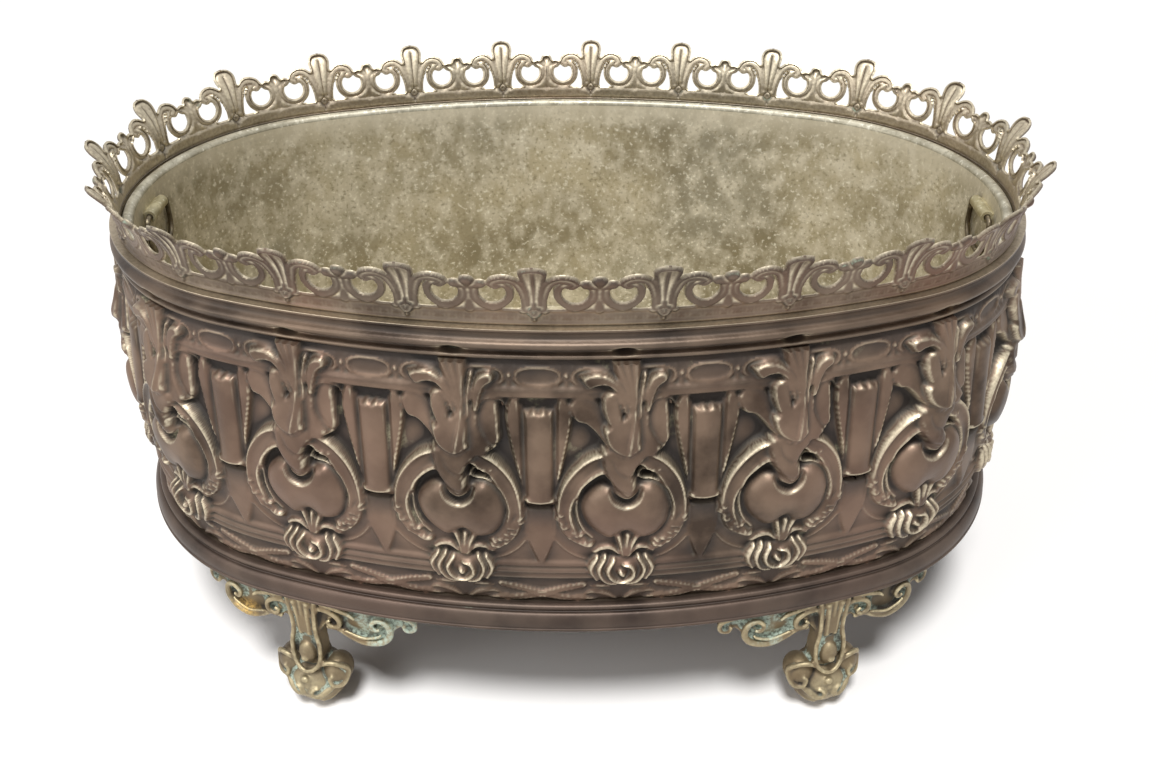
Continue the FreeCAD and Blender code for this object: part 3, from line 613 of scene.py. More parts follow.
bossForms = [
    # scroll frame round the kidney: two hollow bands and their sharp inner lips
    ("band", [(-5, 62.5, 5.2, 9.6), (-11.5, 65.2, 5, 9.4), (-17.2, 71, 4.4, 9.2), (-21, 78, 3.9, 9.2),
        (-22.8, 86, 3.1, 9.4), (-22.2, 94, 3, 9.2), (-19.2, 100.6, 2.8, 9), (-13.2, 106, 1.7, 8.4)]),
    ("band", [(7.5, 61.5, 3.6, 9.4), (13.2, 65.4, 4.2, 9.4), (18.2, 71.6, 3.9, 9.2), (21.2, 78.5, 3.5, 9.2),
        (22.6, 86, 3, 9.4), (22.2, 94, 3, 9.2), (19.6, 101, 2.9, 9), (14.6, 107, 2, 8.4), (11.2, 110, 1, 7.6)]),
    ("ridge", [(-6.4, 71.6, 0.7, 10), (-7.8, 67, 0.8, 10.8), (-12.4, 69.8, 0.8, 10.6), (-15.6, 74.8, 0.8, 10.2),
        (-17.6, 81, 0.7, 9.8), (-18.1, 88.5, 0.7, 9.8), (-16.2, 96, 0.7, 9.6), (-11.8, 102.4, 0.7, 9)]),
    ("groove", [(8.2, 69.9, 1.7, 3.4), (10.6, 69.6, 1.4, 2.6), (13.2, 70.4, 0.9, 1.2)]),
    ("ridge", [(14.4, 67.6, 0.7, 10.2), (8.8, 66.9, 0.8, 10.9), (5.9, 69.5, 0.8, 11), (7.2, 72, 0.8, 11),
        (12.2, 72.6, 0.8, 10.8), (17, 76.9, 0.8, 10.2), (19.8, 85, 0.7, 9.8), (19.4, 92, 0.7, 9.8),
        (16.4, 99.4, 0.7, 9.4), (12, 104, 0.7, 8.8)]),
    # kidney boss, notched at its foot, with a dark crescent under the drop
    ("pad", [(-16.6, 86.5), (-15.6, 81), (-12.5, 76.9), (-8.6, 74.2), (-3.4, 73.6), (1.4, 74), (6.5, 73.4),
        (12.1, 73.3), (16.7, 77.4), (19, 83.5), (19.3, 88), (18.2, 94), (14.1, 100), (9, 102.4), (5.4, 101.6),
        (1.8, 98.6), (-1.6, 100.4), (-5.3, 102.3), (-10.4, 98.6), (-14.6, 93.3)], 9.4, 9, 4.6, 3),
    ("groove", [(-4.6, 76.5, 0.9, 2), (-2.6, 79.6, 1.4, 3.6), (1.4, 81.4, 1.7, 4.4), (5, 79.2, 1.4, 3.6),
        (6.6, 76, 0.8, 2)]),
    ("pad", [(-7.4, 55.6), (-9, 60), (-8.2, 66), (-6.4, 70.6), (-3.8, 75), (1.1, 78.6), (4.8, 76.4), (5.4, 72.4),
        (4.4, 68.8), (6, 64.6), (9, 60.6), (6.4, 55.4)], 8.8, 12.4, 2.4, 1.4),
    ("ridge", [(-7.8, 61.5, 0.6, 10.6), (-5.6, 66.8, 0.7, 12.4), (-1.6, 70.6, 0.8, 13.6), (3, 71.6, 0.8, 13.8),
        (5, 70.6, 0.6, 12.6)]),
    ("groove", [(-4.6, 60, 0.7, 0.7), (-2.6, 65, 0.8, 1), (1, 68.2, 0.8, 1), (4, 68.4, 0.6, 0.6)]),
    ("groove", [(-5.2, 70.4, 0.6, 0.6), (-2.4, 74, 0.8, 0.9), (1.6, 75.6, 0.7, 0.9), (4.2, 74.4, 0.5, 0.5)]),
    # bud stem
    ("round", [(-1.55, 100.5, 1.3, 9.6), (-0.43, 105.5, 1.1, 9.8), (0.45, 111.5, 0.9, 9.6)]),
    ("round", [(2.35, 100.5, 1.3, 9.6), (1.91, 105.5, 1.1, 9.8), (1.75, 111.5, 0.9, 9.6)]),
    ("round", [(5.95, 100.5, 1.3, 9.6), (4.07, 105.5, 1.1, 9.8), (2.95, 111.5, 0.9, 9.6)]),
]

budLeafForms = [
    ("leaf", [(2.2, 110.6, 0.9, 9.4), (5.4, 107.6, 1.3, 9), (9.4, 108.2, 1.1, 8.6), (12, 110.8, 0.7, 8)]),
]

knotSideForms = [
    ("round", [(9.8, 113, 0.8, 9.6), (12.4, 118.2, 1.4, 10.2), (10, 124.8, 1, 9.6)]),
    ("round", [(6.6, 112.4, 0.8, 10.4), (9.2, 118.4, 1.3, 11.4), (6.2, 125.8, 1, 10.4), (1.5, 128, 0.8, 9.6)]),
]

knotForms = [
    ("round", [(-3.2, 113.6, 0.9, 11.2), (-5.6, 118.2, 1.3, 12.4), (-3.2, 123.4, 1.2, 12.2), (1.6, 124.4, 1.2, 12),
        (4.8, 121, 1.2, 12.2), (4, 116.4, 1.1, 12), (0.6, 115.8, 0.9, 11.6)]),
    ("round", [(-0.6, 119.6, 1.3, 12), (0.6, 120.4, 1.4, 12.2)]),
]

ribbonForms = [
    # hollow ribbon between two sharp edges
    ("band", [(-17, 130.6, 1.5, 6.2), (-8, 132.8, 1.5, 6.4), (0, 135.2, 1.4, 6.8), (9, 137.6, 1.5, 6.4),
        (17, 139.2, 1.4, 6)]),
    ("ridge", [(-17, 129.35, 0.5, 6.6), (-8, 131.55, 0.55, 7.2), (0, 133.95, 0.55, 7.6), (9, 136.35, 0.55, 7.2),
        (17, 137.95, 0.5, 6.6)]),
    ("ridge", [(-17, 131.85, 0.5, 6.6), (-8, 134.05, 0.55, 7.2), (0, 136.45, 0.55, 7.6), (9, 138.85, 0.55, 7.2),
        (17, 140.45, 0.5, 6.6)]),
]

sprigForms = [
    ("leaf", [(1.5, 139, 0.7, 5.8), (5.5, 135.6, 1.5, 6.8), (11, 134.2, 1.4, 6.6), (15.5, 136, 0.6, 5.6)]),
    ("leaf", [(4, 131.8, 0.7, 5.6), (8, 131, 1.1, 6.2), (12.5, 131.6, 0.6, 5.6)]),
    ("leaf", [(10, 139.2, 0.6, 5.6), (14, 138, 1.1, 6.2), (18.5, 136.2, 0.6, 5.6)]),
]

bracketForms = [
    # acanthus that falls from a fluted neck
    ("pad", [(-4.9, 18), (-4.6, 21), (-3.4, 26), (-0.9, 31), (1.2, 36), (1.8, 41), (5.2, 41), (4.9, 36), (5.4, 30),
        (6, 25), (6, 20), (5.4, 18)], 3.4, 7.4, 1.2),
    ("round", [(-3, 19.5, 1.5, 4.9), (1, 30, 1, 6.3), (2.4, 41, 0.8, 8.2)]),
    ("round", [(0.4, 19.5, 1.5, 4.9), (2.6, 30, 1, 6.3), (3.3, 41, 0.8, 8.2)]),
    ("round", [(4, 19.5, 1.5, 4.9), (4.2, 30, 1, 6.3), (4.3, 41, 0.8, 8.2)]),
    # left scroll leaf
    ("pad", [(-16.4, 26), (-13, 24.2), (-8, 24.2), (-4, 26), (-0.4, 31), (1.6, 38), (1.2, 43), (-0.6, 40),
        (-2.8, 33.4), (-6.2, 29.6), (-10, 29.4), (-13.5, 30.5)], 5.2, 7.6, 1),
    ("ridge", [(-16.4, 26.4, 0.7, 5.4), (-13, 24.6, 0.9, 6.4), (-8, 24.6, 1, 7), (-4.2, 26.5, 1, 7.4),
        (-0.7, 30.8, 1, 7.8), (1.6, 37, 0.9, 8.6), (2.2, 44, 0.8, 9.6)]),
    ("ridge", [(-13.4, 30.4, 0.7, 5.6), (-9.4, 28.2, 0.9, 6.8), (-6.2, 27.8, 0.9, 7.2), (-2.6, 31.5, 0.9, 7.6),
        (-0.4, 37.1, 0.8, 8.2), (0.8, 44, 0.7, 9.2)]),
    ("ridge", [(-10.8, 27, 0.5, 6.2), (-6.6, 26.4, 0.6, 6.6), (-3, 28.8, 0.6, 7), (0.4, 34.6, 0.5, 7.6)]),
    ("pad", [(-8.6, 37), (-7.2, 33.6), (-4.5, 32.4), (-2, 35.6), (-0.4, 42), (0.8, 49), (-2.4, 50), (-6, 46),
        (-8, 41)], 6.2, 10, 1.4),
    ("ridge", [(-8.2, 38, 0.6, 6.6), (-7.4, 34, 0.7, 7.4), (-4.6, 32.3, 0.8, 7.8), (-2, 35.2, 0.7, 8),
        (-0.6, 41, 0.7, 9)]),
    # low leaf at the far left, folded over itself
    ("pad", [(-21, 39.6), (-18.4, 36.4), (-14.4, 35.4), (-10.4, 37.4), (-7.6, 42), (-5.4, 48), (-3.2, 55),
        (-7.2, 56), (-10.6, 51.6), (-14.5, 47.6), (-18.6, 46)], 2.6, 7.6, 1.6),
    ("ridge", [(-20.8, 39.6, 0.6, 3), (-18, 36.6, 0.7, 3.4), (-14.6, 35.7, 0.8, 3.8), (-11.4, 36.8, 0.8, 4.6),
        (-8.6, 40.2, 0.8, 5.6), (-6.3, 45, 0.7, 7.2), (-3.7, 50.5, 0.7, 9.6), (-0.2, 55.4, 0.7, 12.4)]),
    ("ridge", [(-17.2, 41.6, 0.5, 3.6), (-14.8, 39.2, 0.6, 4.2), (-12, 39.6, 0.6, 4.8), (-10, 43.2, 0.6, 5.6)]),
    ("ridge", [(-10.8, 44.6, 0.6, 5.8), (-9.2, 48.2, 0.7, 7), (-7.6, 52, 0.7, 8.6), (-6.2, 56.4, 0.7, 10.4)]),
    # middle stem and the tongue over the boss
    ("pad", [(-8.2, 47), (-6.8, 53), (-3.4, 56.6), (1.4, 58.2), (5.6, 55.8), (6.4, 51), (6.2, 44), (4.8, 39.4),
        (1.6, 39.4), (-1.6, 43), (-5.4, 45)], 7, 13.2, 1.5),
    ("round", [(3.8, 40, 1.7, 8.4), (3.4, 46, 2, 10.4), (2.4, 52, 2, 12.8), (1.6, 56, 1.4, 13.6)]),
    ("ridge", [(-6.8, 54.4, 0.7, 12), (-3.3, 56.9, 0.8, 13.8), (1.4, 58.3, 0.9, 14.4), (5.4, 56, 0.8, 13.8),
        (5.9, 52.6, 0.7, 12.6)]),
    # right leaves: one between, one standing against the frieze, one curled in a C
    ("pad", [(4.6, 39), (8.6, 39), (10.2, 43), (10.4, 48), (12.4, 53), (15, 57.4), (10, 61), (4, 60),
        (4.6, 50)], 4.4, 9.4, 2.2),
    ("pad", [(7.6, 41), (7.4, 35), (8.2, 30), (9.9, 26.2), (12.5, 24.2), (15.8, 24.6), (16.2, 27.4), (13.6, 29.8),
        (11.6, 32.4), (10.8, 37), (10, 41)], 5, 6.4, 0.9),
    ("ridge", [(8, 42, 0.6, 6.8), (7.8, 35, 0.7, 6.4), (8.6, 30, 0.8, 6.2), (10.2, 26.4, 0.8, 6),
        (12.8, 24.6, 0.7, 5.8)]),
    ("ridge", [(15.8, 27.6, 0.7, 5.6), (12.6, 30, 0.8, 6), (11, 33.8, 0.7, 6.2), (10.3, 38, 0.6, 6.4)]),
    ("round", [(6, 43, 0.9, 7.6), (6.2, 36, 1, 6.4), (6.8, 30, 1.1, 5.6), (7.6, 25.4, 1, 4.6)]),
    ("pad", [(9.6, 42), (10.8, 38.4), (13.4, 36.6), (16.8, 38.2), (17.6, 44), (17.8, 50), (17.4, 56.4), (14.6, 55.6),
        (11, 51.8), (9.3, 47)], 2.8, 6.4, 1.6),
    ("ridge", [(20.4, 42, 0.6, 3.2), (18.6, 38.6, 0.7, 3.6), (16.2, 36.8, 0.8, 4), (13.2, 36.3, 0.9, 4.6),
        (10.4, 38.4, 0.9, 5.4), (9.2, 42.4, 0.9, 6.2), (9.2, 47.4, 0.9, 6.8), (11.2, 52, 0.8, 7.4),
        (15.2, 55.9, 0.8, 8.2), (15.8, 57.6, 0.7, 8.6), (13, 59.2, 0.7, 9.4), (8.6, 60, 0.7, 9.8)]),
    ("ridge", [(17.6, 40, 0.5, 3.6), (16.4, 38.9, 0.6, 4.2), (16, 42, 0.5, 4.6), (17, 48, 0.5, 5.6),
        (17.6, 55, 0.5, 6.8)]),
    ("groove", [(17.6, 39.8, 0.9, 1.6), (18.6, 41.6, 0.9, 1.6)]),
]


def drawPanel():
    drops = np.linspace(wallGround["drops"][0], wallGround["drops"][-1], wallGround["rows"] + 1)
    canvas = newCanvas(panelPitch, wallGround["columns"], drops, panelGround)
    drop = canvas["drop"]
    seam = panelPitch / 2
    # frieze: raised-rim ovals with an eye-bead and rays between them
    turns = np.linspace(0, 2 * math.pi, 14, endpoint=False)
    for middle in (seam, -seam / 3, seam / 3):
        ring = ringPoints((middle, wallGround["friezeDrop"]), wallGround["friezeHalf"], turns, 0.65, 2.5, power=0.8)
        layStroke(canvas, "round", ring, closed=True)
    for middle in (seam * 2 / 3, -seam * 2 / 3):
        layForms(canvas, eyeBeadForms, middle)
    # pilaster on the seam between two panels: a swelling half column whose foot juts over a deep slot
    off = np.abs(wrapped(canvas, seam) - seam) / wallGround["pilasterHalf"]
    swell = np.interp(drop, wallGround["pilasterDrops"], wallGround["pilasterOuts"])
    swell = swell * np.sqrt(np.maximum(0, 1 - 0.55 * off**2))
    lip = wallGround["pilasterTop"] + 0.7 * np.cos(np.minimum(off, 1) * math.pi * 1.5) ** 2     # scalloped
    rise = np.sqrt(1 - (1 - np.clip((drop - lip) / 2.6, 0, 1)) ** 2)
    swell = canvas["ground"] + (swell - canvas["ground"]) * rise
    column = (off < 1) & (drop > lip) & (drop < wallGround["pilasterFoot"])
    canvas["relief"] = np.where(column, np.maximum(canvas["relief"], swell), canvas["relief"])
    layForms(canvas, pilasterForms, seam)
    layPairs(canvas, lancetForms, seam)
    layForms(canvas, bossForms)
    # rosette knot
    layPairs(canvas, budLeafForms, 1)
    knot = ringPoints((0.2, 120), (12.6, 8.1), np.linspace(0, 6.2832, 12, endpoint=False))
    layPad(canvas, knot, 8.6, 8.6, 3.0)
    layPairs(canvas, knotSideForms)
    layForms(canvas, knotForms)
    # ribbon band: crossed ribbons on the pilaster's line, leaf sprigs between
    layPairs(canvas, ribbonForms, seam)
    layPairs(canvas, sprigForms)
    layLine(canvas, "groove", 139.9, 0.7, 1.0)
    layForms(canvas, bracketForms)
    # crumbs of lime at the foot of the frame
    random = np.random.default_rng(7)
    for side in (-1, 1):
        for _ in range(wallGround["crumbs"]):
            share = random.uniform(0, 1)
            along = side * (24.6 - 12 * share**1.5) + random.normal(0, 1.3)
            down = 91 + 15.5 * share + random.normal(0, 1.0)
            size = random.uniform(0.5, 1.1)
            layStroke(canvas, "round", [(along, down, size, 10.0), (along + size, down + 0.3, size, 9.8)])
    canvas["relief"] = blurred(canvas["relief"], 2, held=True)
    return canvas


panel = drawPanel()
relief, drop = panel["relief"], panel["drop"]
fromPilaster = np.abs(wrapped(panel, panelPitch / 2) - panelPitch / 2)
# dirt lies in the broad hollows and packed along the grooves; painted shade with some soot darkens the sunk ground
# under the top moulding, behind the pilaster tops and about the ribbon band, and a painted shadow fills the
# pilaster's slot
broad = np.clip((blurred(relief, 90) - relief - 0.12) / 1.4, 0, 1)
tight = np.clip((blurred(relief, 8) - relief - 0.1) / 0.5, 0, 1)
# painted shade with some soot on the sunk ground: darkest under the top moulding's overhang, behind the pilaster tops
# and just above the ribbon band
shadeAndSoot = np.interp(drop, [20, 22.5, 27, 31, 35.6, 37.5, 41.5, 46, 113, 118, 125.5, 127.5, 129, 140],
                  [0.9, 0.75, 0.5, 0.25, 0, 0.85, 0.75, 0, 0, 0.25, 0.3, 0.8, 0.6, 0.5])
# painted shadow in the deep slot under each pilaster's foot, fading down the tongue below it
slotShade = np.interp(drop, [83.4, 84.2, 88, 97], [0, 0.9, 0.75, 0]) * (fromPilaster < 5.2)
panel["hollow"] = np.maximum.reduce([broad, 0.85 * tight, shadeAndSoot * (relief < panel["ground"] + 0.6), slotShade])
# edges are rubbed bright, less where the neck lies sheltered and hardly at all in the painted shadow of the
# pilaster's slot, and polish has dried in the creases
wear = np.clip((relief - blurred(relief, 2) - 0.13) / 0.18, 0, 1)
unrubbed = np.interp(drop, [38, 39, 45, 48], [0, 0.75, 0.75, 0]) * (fromPilaster < 6.2)
wear = wear * (1 - np.maximum(unrubbed, 0.8 * (slotShade > 0.2)))
wear = wear * np.interp(drop, [24, 34, 40], [0.5, 0.6, 1])
crease = np.clip((blurred(relief, 3) - relief - 0.16) / 0.3, 0, 1)
panel["edgeWear"] = np.maximum(wear, 0.45 * crease)
print("panel relief drawn, standing out up to", round(float(relief.max()), 1), "mm")


def wallPiece(name, firstPanel, panels):
    columns = wallGround["columns"]
    cells = np.arange(panels * columns + 1)
    runs = (firstPanel + oval["panelPhase"] - 0.5) * panelPitch + cells * panelPitch / columns
    outs = carried(panel["relief"][::-1], cells)         # from the foot up
    heights = beadLine - panel["drop"][::-1, :1] + np.zeros_like(outs)
    backDrops, backOuts = np.array(wallGround["inner"]).T
    outs = np.vstack([outs, np.repeat(backOuts[:, None], len(runs), axis=1), outs[:1]])
    heights = np.vstack([heights, np.repeat((beadLine - backDrops)[:, None], len(runs), axis=1), heights[:1]])
    piece, column, row = freshGrid(name, len(runs) - 1, len(outs) - 1)
    moveVertices(piece, ovalPlace(runs[column], outs[row, column], heights[row, column]))
    outside = row < len(panel["relief"])
    tileRow = np.minimum(row, len(panel["relief"]) - 1)
    for title in ("edgeWear", "hollow"):
        values = np.where(outside, panel[title][::-1][tileRow, column % columns], 0)
        writeShares(piece, title, values)
    mergeDoubles(piece, fillEnds=True)
    smoothFaces(piece, 55)
    return piece


panelsEach = wallGround["panelsEach"]
for index in range(oval["panelCount"] // panelsEach):
    side = "rear" if index < oval["panelCount"] // panelsEach // 2 else "front"
    strip = wallPiece("pressed_wall_" + side + "_" + str(index), index * panelsEach, panelsEach)
    finish(strip, "casing", "pressedBrass", side + "_wall")


# top moulding: sharp edge, cove and two rounds, with a pit over every bracket and a ledge for the liner

topMoulding = {
    # drop and way out, up the outside and down the inside, with the ledge under the liner's rim
    "outer": [(20, -0.4), (19.4, 1.2), (18.7, 2.1), (17.9, 2.2), (17.2, 1.4), (16.7, 0.5), (16.2, 0.1), (15.7, 0.5),
              (15.2, 1.6), (14.4, 2.8), (13.4, 3.6), (12.4, 3.7), (11.6, 3.1), (11.1, 2.2), (10.6, 1.4), (9.8, 0.9),
              (8.8, 0.9), (7.9, 1.2), (7.3, 1.9), (7.0, 2.5), (6.4, 2.6), (6.0, 2.4)],
    "inner": [(6.0, -2.0), (10.3, -2.0), (10.3, -6.2), (11.5, -6.2), (11.5, -2.0), (20, -2.0)],
    "pitDrop": 15.4,
    "pitHalf": (4.2, 1.9),
    "pitDepth": 2.4,
    "step": 1.5,
}


def topMouldingPiece():
    runs = np.linspace(0, perimeter, int(perimeter / topMoulding["step"]) + 1)
    line = smoothLine(topMoulding["outer"], steps=3)
    drops, outs = np.vstack([line, topMoulding["inner"], line[:1]]).T
    outs = np.repeat(outs[:, None], len(runs), axis=1)
    off = np.mod(runs - oval["panelPhase"] * panelPitch + panelPitch / 2, panelPitch) - panelPitch / 2
    halfAlong, halfDrop = topMoulding["pitHalf"]
    reach = (off[None, :] / halfAlong) ** 2 + ((drops[:, None] - topMoulding["pitDrop"]) / halfDrop) ** 2
    outs[:len(line)] -= topMoulding["pitDepth"] * np.exp(-reach**2)[:len(line)]
    piece = carryRound("top_moulding_ring", runs, outs, beadLine - drops[:, None], whole=True)
    smoothFaces(piece, 50)
    weather(piece, 3, 30, (0.03, 0.16), (0.05, 0.5))
    return piece


finish(topMouldingPiece(), "casing", "plainBrass", "top_moulding")


# base moulding: broad smooth round with a lip turned in under the bottom plate

baseMoulding = {
    # way out and height
    "outer": [(3.5, 66), (10.6, 66), (11.8, 66.2), (12.3, 66.8), (12.2, 67.5), (11.8, 67.9), (11.9, 68.8),
              (11.9, 70.4), (11.5, 72.2), (10.8, 73.7), (10.0, 74.6), (9.2, 74.9), (8.5, 74.9), (8.3, 75.4),
              (8.7, 76.2), (8.7, 77.0), (8.0, 77.7), (6.6, 78.0), (5.6, 78.0), (3.5, 78.0)],
    "inner": [(3.5, 76.8), (9.6, 70), (9.6, 67.2), (2, 67.2), (2, 66), (3.5, 66)],
    "runs": 481,
}


def baseMouldingPiece():
    runs = np.linspace(0, perimeter, baseMoulding["runs"])
    line = np.array(baseMoulding["outer"])
    shape = np.vstack([line[:1], smoothLine(line[1:-1], steps=3), line[-1:], baseMoulding["inner"]])
    piece = carryRound("base_moulding_ring", runs, shape[:, :1], shape[:, 1:], whole=True)
    smoothFaces(piece, 50)
    weather(piece, 3, 40, (0.03, 0.2), (0.05, 0.6))
    return piece


finish(baseMouldingPiece(), "casing", "baseBrass", "base_moulding")


# gallery: a stamped strip of palmettes, scrolls and buds, pierced, then curled outwards

gallery = {
    "columns": 108,        # cells along one motif
    "low": -6.0,           # lowest and highest edge over the bead line
    "high": 26.4,
    "step": 0.45,
    "railTop": 0.9,
    "teeth": 33,           # of the milled line, along one motif
    "teethUp": -2.6,       # their middle, and how far up or down they fade
    "teethFade": 0.8,
    "teethHigh": 0.28,
    "sheet": 0.9,
    "back": -2.0,          # way out of the strip's back
    "curlStart": 1.5,
    "curlRadius": 30.0,
}


# the motif's forms, drawn like the panel's, with the height over the bead line in place of the drop

scrollForms = [
    # scroll that rises beside the palmette's stem and hooks into the eye
    ("band", [(3.6, 0.5, 1.1, 1.2), (3.6, 5, 1.3, 1.4), (4.5, 10, 1.6, 1.6), (6.3, 15, 1.9, 1.8),
        (9.8, 17.4, 2.1, 2), (13.3, 16.6, 2, 2), (15, 14.4, 1.7, 2), (13.9, 12.9, 1.6, 2.1), (12.9, 13, 1.4, 2.2)]),
]

budLobeForms = [
    ("round", [(-0.5, 11.5, 1.3, 1.2), (-3.2, 12.8, 2, 1.6), (-4.8, 13.4, 2.3, 2)]),
]

stemFootForms = [
    # where the stem spreads on the rail
    ("pad", [(0, 0), (2.8, 0), (2.6, 3), (2.7, 8), (2.9, 12), (0, 12)], 0.4, 0.4, 0.5),
    ("round", [(3.4, 0.2, 1, 1.3), (4.6, 0.2, 0.9, 1.2)]),
]

palmetteForms = [
    # flared leaf with a raised edge and two channels beside its middle rib
    ("pad", [(0, 25.9), (3.8, 24.7), (5.3, 21.6), (4.6, 17.6), (3.3, 13.5), (2.5, 8), (2.1, 3), (-2.1, 3), (-2.5, 8),
        (-3.3, 13.5), (-4.6, 17.6), (-5.3, 21.6), (-3.8, 24.7)], 0.7, 0.9, 0.6),
    ("round", [(-1.8, 3, 0.6, 1.5), (-2.2, 9, 0.65, 1.6), (-3.4, 15, 0.75, 1.7), (-4.4, 21, 0.9, 1.8),
        (-2.9, 24.4, 1.1, 1.7), (0, 25, 1.2, 1.6), (2.9, 24.4, 1.1, 1.7), (4.4, 21, 0.9, 1.8), (3.4, 15, 0.75, 1.7),
        (2.2, 9, 0.65, 1.6), (1.8, 3, 0.6, 1.5)]),
    ("round", [(0, 4, 0.55, 1.5), (0, 12, 0.6, 1.8), (0, 19, 0.75, 2), (0, 22.6, 0.6, 1.8)]),
]

budForms = [
    ("pad", [(-1.6, 0), (1.6, 0), (1.7, 6), (1.6, 12), (0, 15), (-1.6, 12), (-1.7, 6)], 0.8, 1, 0.7),
    ("round", [(0, 13, 1.6, 1.6), (0, 15.5, 2.9, 2.4)]),
    ("pad", [(-5, 0), (5, 0), (2.6, 3.4), (0, 5), (-2.6, 3.4)], 0.3, 0.3, 0.5),
]

footBeadForms = [
    ("round", [(0, 0.2, 1, 2.4), (0, 0.4, 1, 2.4)]),
    ("round", [(0, 3.2, 1.2, 2), (0, 3.6, 1.2, 2)]),
    ("round", [(0, -3.2, 0.9, 1.4), (0, -3, 0.9, 1.4)]),
]


def drawGallery():
    rows = int(round((gallery["high"] - gallery["low"]) / gallery["step"]))
    ups = np.linspace(gallery["low"], gallery["high"], rows + 1)
    canvas = newCanvas(galleryPitch, gallery["columns"], ups, lambda along, up: np.zeros(along.shape))
    bud = galleryPitch / 2
    # rail, with a milled line and a plain round under it
    canvas["mask"] = np.maximum(canvas["mask"], gallery["railTop"] - canvas["drop"])
    layLine(canvas, "ridge", 0.4, 0.7, 0.7)
    layLine(canvas, "round", -5.2, 0.8, 0.6)
    teeth = np.sign(np.sin(canvas["along"] * 2 * math.pi * gallery["teeth"] / galleryPitch))
    fade = np.exp(-(((canvas["drop"] - gallery["teethUp"]) / gallery["teethFade"]) ** 2))
    canvas["relief"] = canvas["relief"] + fade * gallery["teethHigh"] * teeth
    # ring round the eye, open at its top
    ring = ringPoints((15, 8.75), (6.5, 6.5), np.radians(np.linspace(128, 402, 14)), 1.65, 1.5)
    for side in (-1, 1):
        layForms(canvas, scrollForms, 0, side)
        layStroke(canvas, "band", placed(ring, 0, side))
        layForms(canvas, budLobeForms, side * bud, side)
        layForms(canvas, stemFootForms, 0, side)
    layForms(canvas, palmetteForms)
    layForms(canvas, budForms, bud)
    # ringed bead at the palmette's foot and a smaller one under it
    ring = ringPoints((0, 0.3), (1.9, 1.9), np.linspace(0, 2 * math.pi, 10, endpoint=False), 0.7, 2.0)
    layStroke(canvas, "round", ring, closed=True)
    layForms(canvas, footBeadForms)
    canvas["relief"] = blurred(canvas["relief"], 1, held=True)
    return canvas


motif = drawGallery()
# polish has dried pale in the channels, and the steep sides are dark
onMetal = np.clip(motif["mask"] / 0.5, 0, 1)
channels = np.clip((blurred(motif["relief"], 10) - motif["relief"] - 0.03) / 0.2, 0, 1) * onMetal
beads = 0.35 * np.clip((motif["relief"] - blurred(motif["relief"], 3) - 0.06) / 0.15, 0, 1) * (motif["drop"] < 1)
motif["edgeWear"] = np.maximum(channels * np.interp(motif["drop"], [0.6, 2.0], [0.2, 1]), beads)
acrossSlope, alongSlope = np.gradient(motif["relief"], gallery["step"], galleryPitch / gallery["columns"])
motif["hollow"] = 0.75 * np.clip((np.hypot(acrossSlope, alongSlope) - 0.5) / 0.9, 0, 1) * onMetal


def paleInside(piece):  # the strip's inner face, never blacked, keeps more of the metal's own pale gold
    places, normals = vertexPlaces(piece), vertexNormals(piece)
    stretch = oval["halfLength"] / oval["halfWidth"]
    outward = normals[:, 0] * places[:, 0] + normals[:, 1] * places[:, 1] * stretch**2
    inner = np.clip(-outward / np.hypot(places[:, 0], places[:, 1] * 2.8) * 1.5 - 0.2, 0, 1)
    for title, gain, share in (("edgeWear", 1.0, 0.62), ("hollow", 0.9, 0.0)):
        values = readShares(piece, title)
        writeShares(piece, title, values * (1 - inner * (1 - gain)) + inner * share * (1 - values))


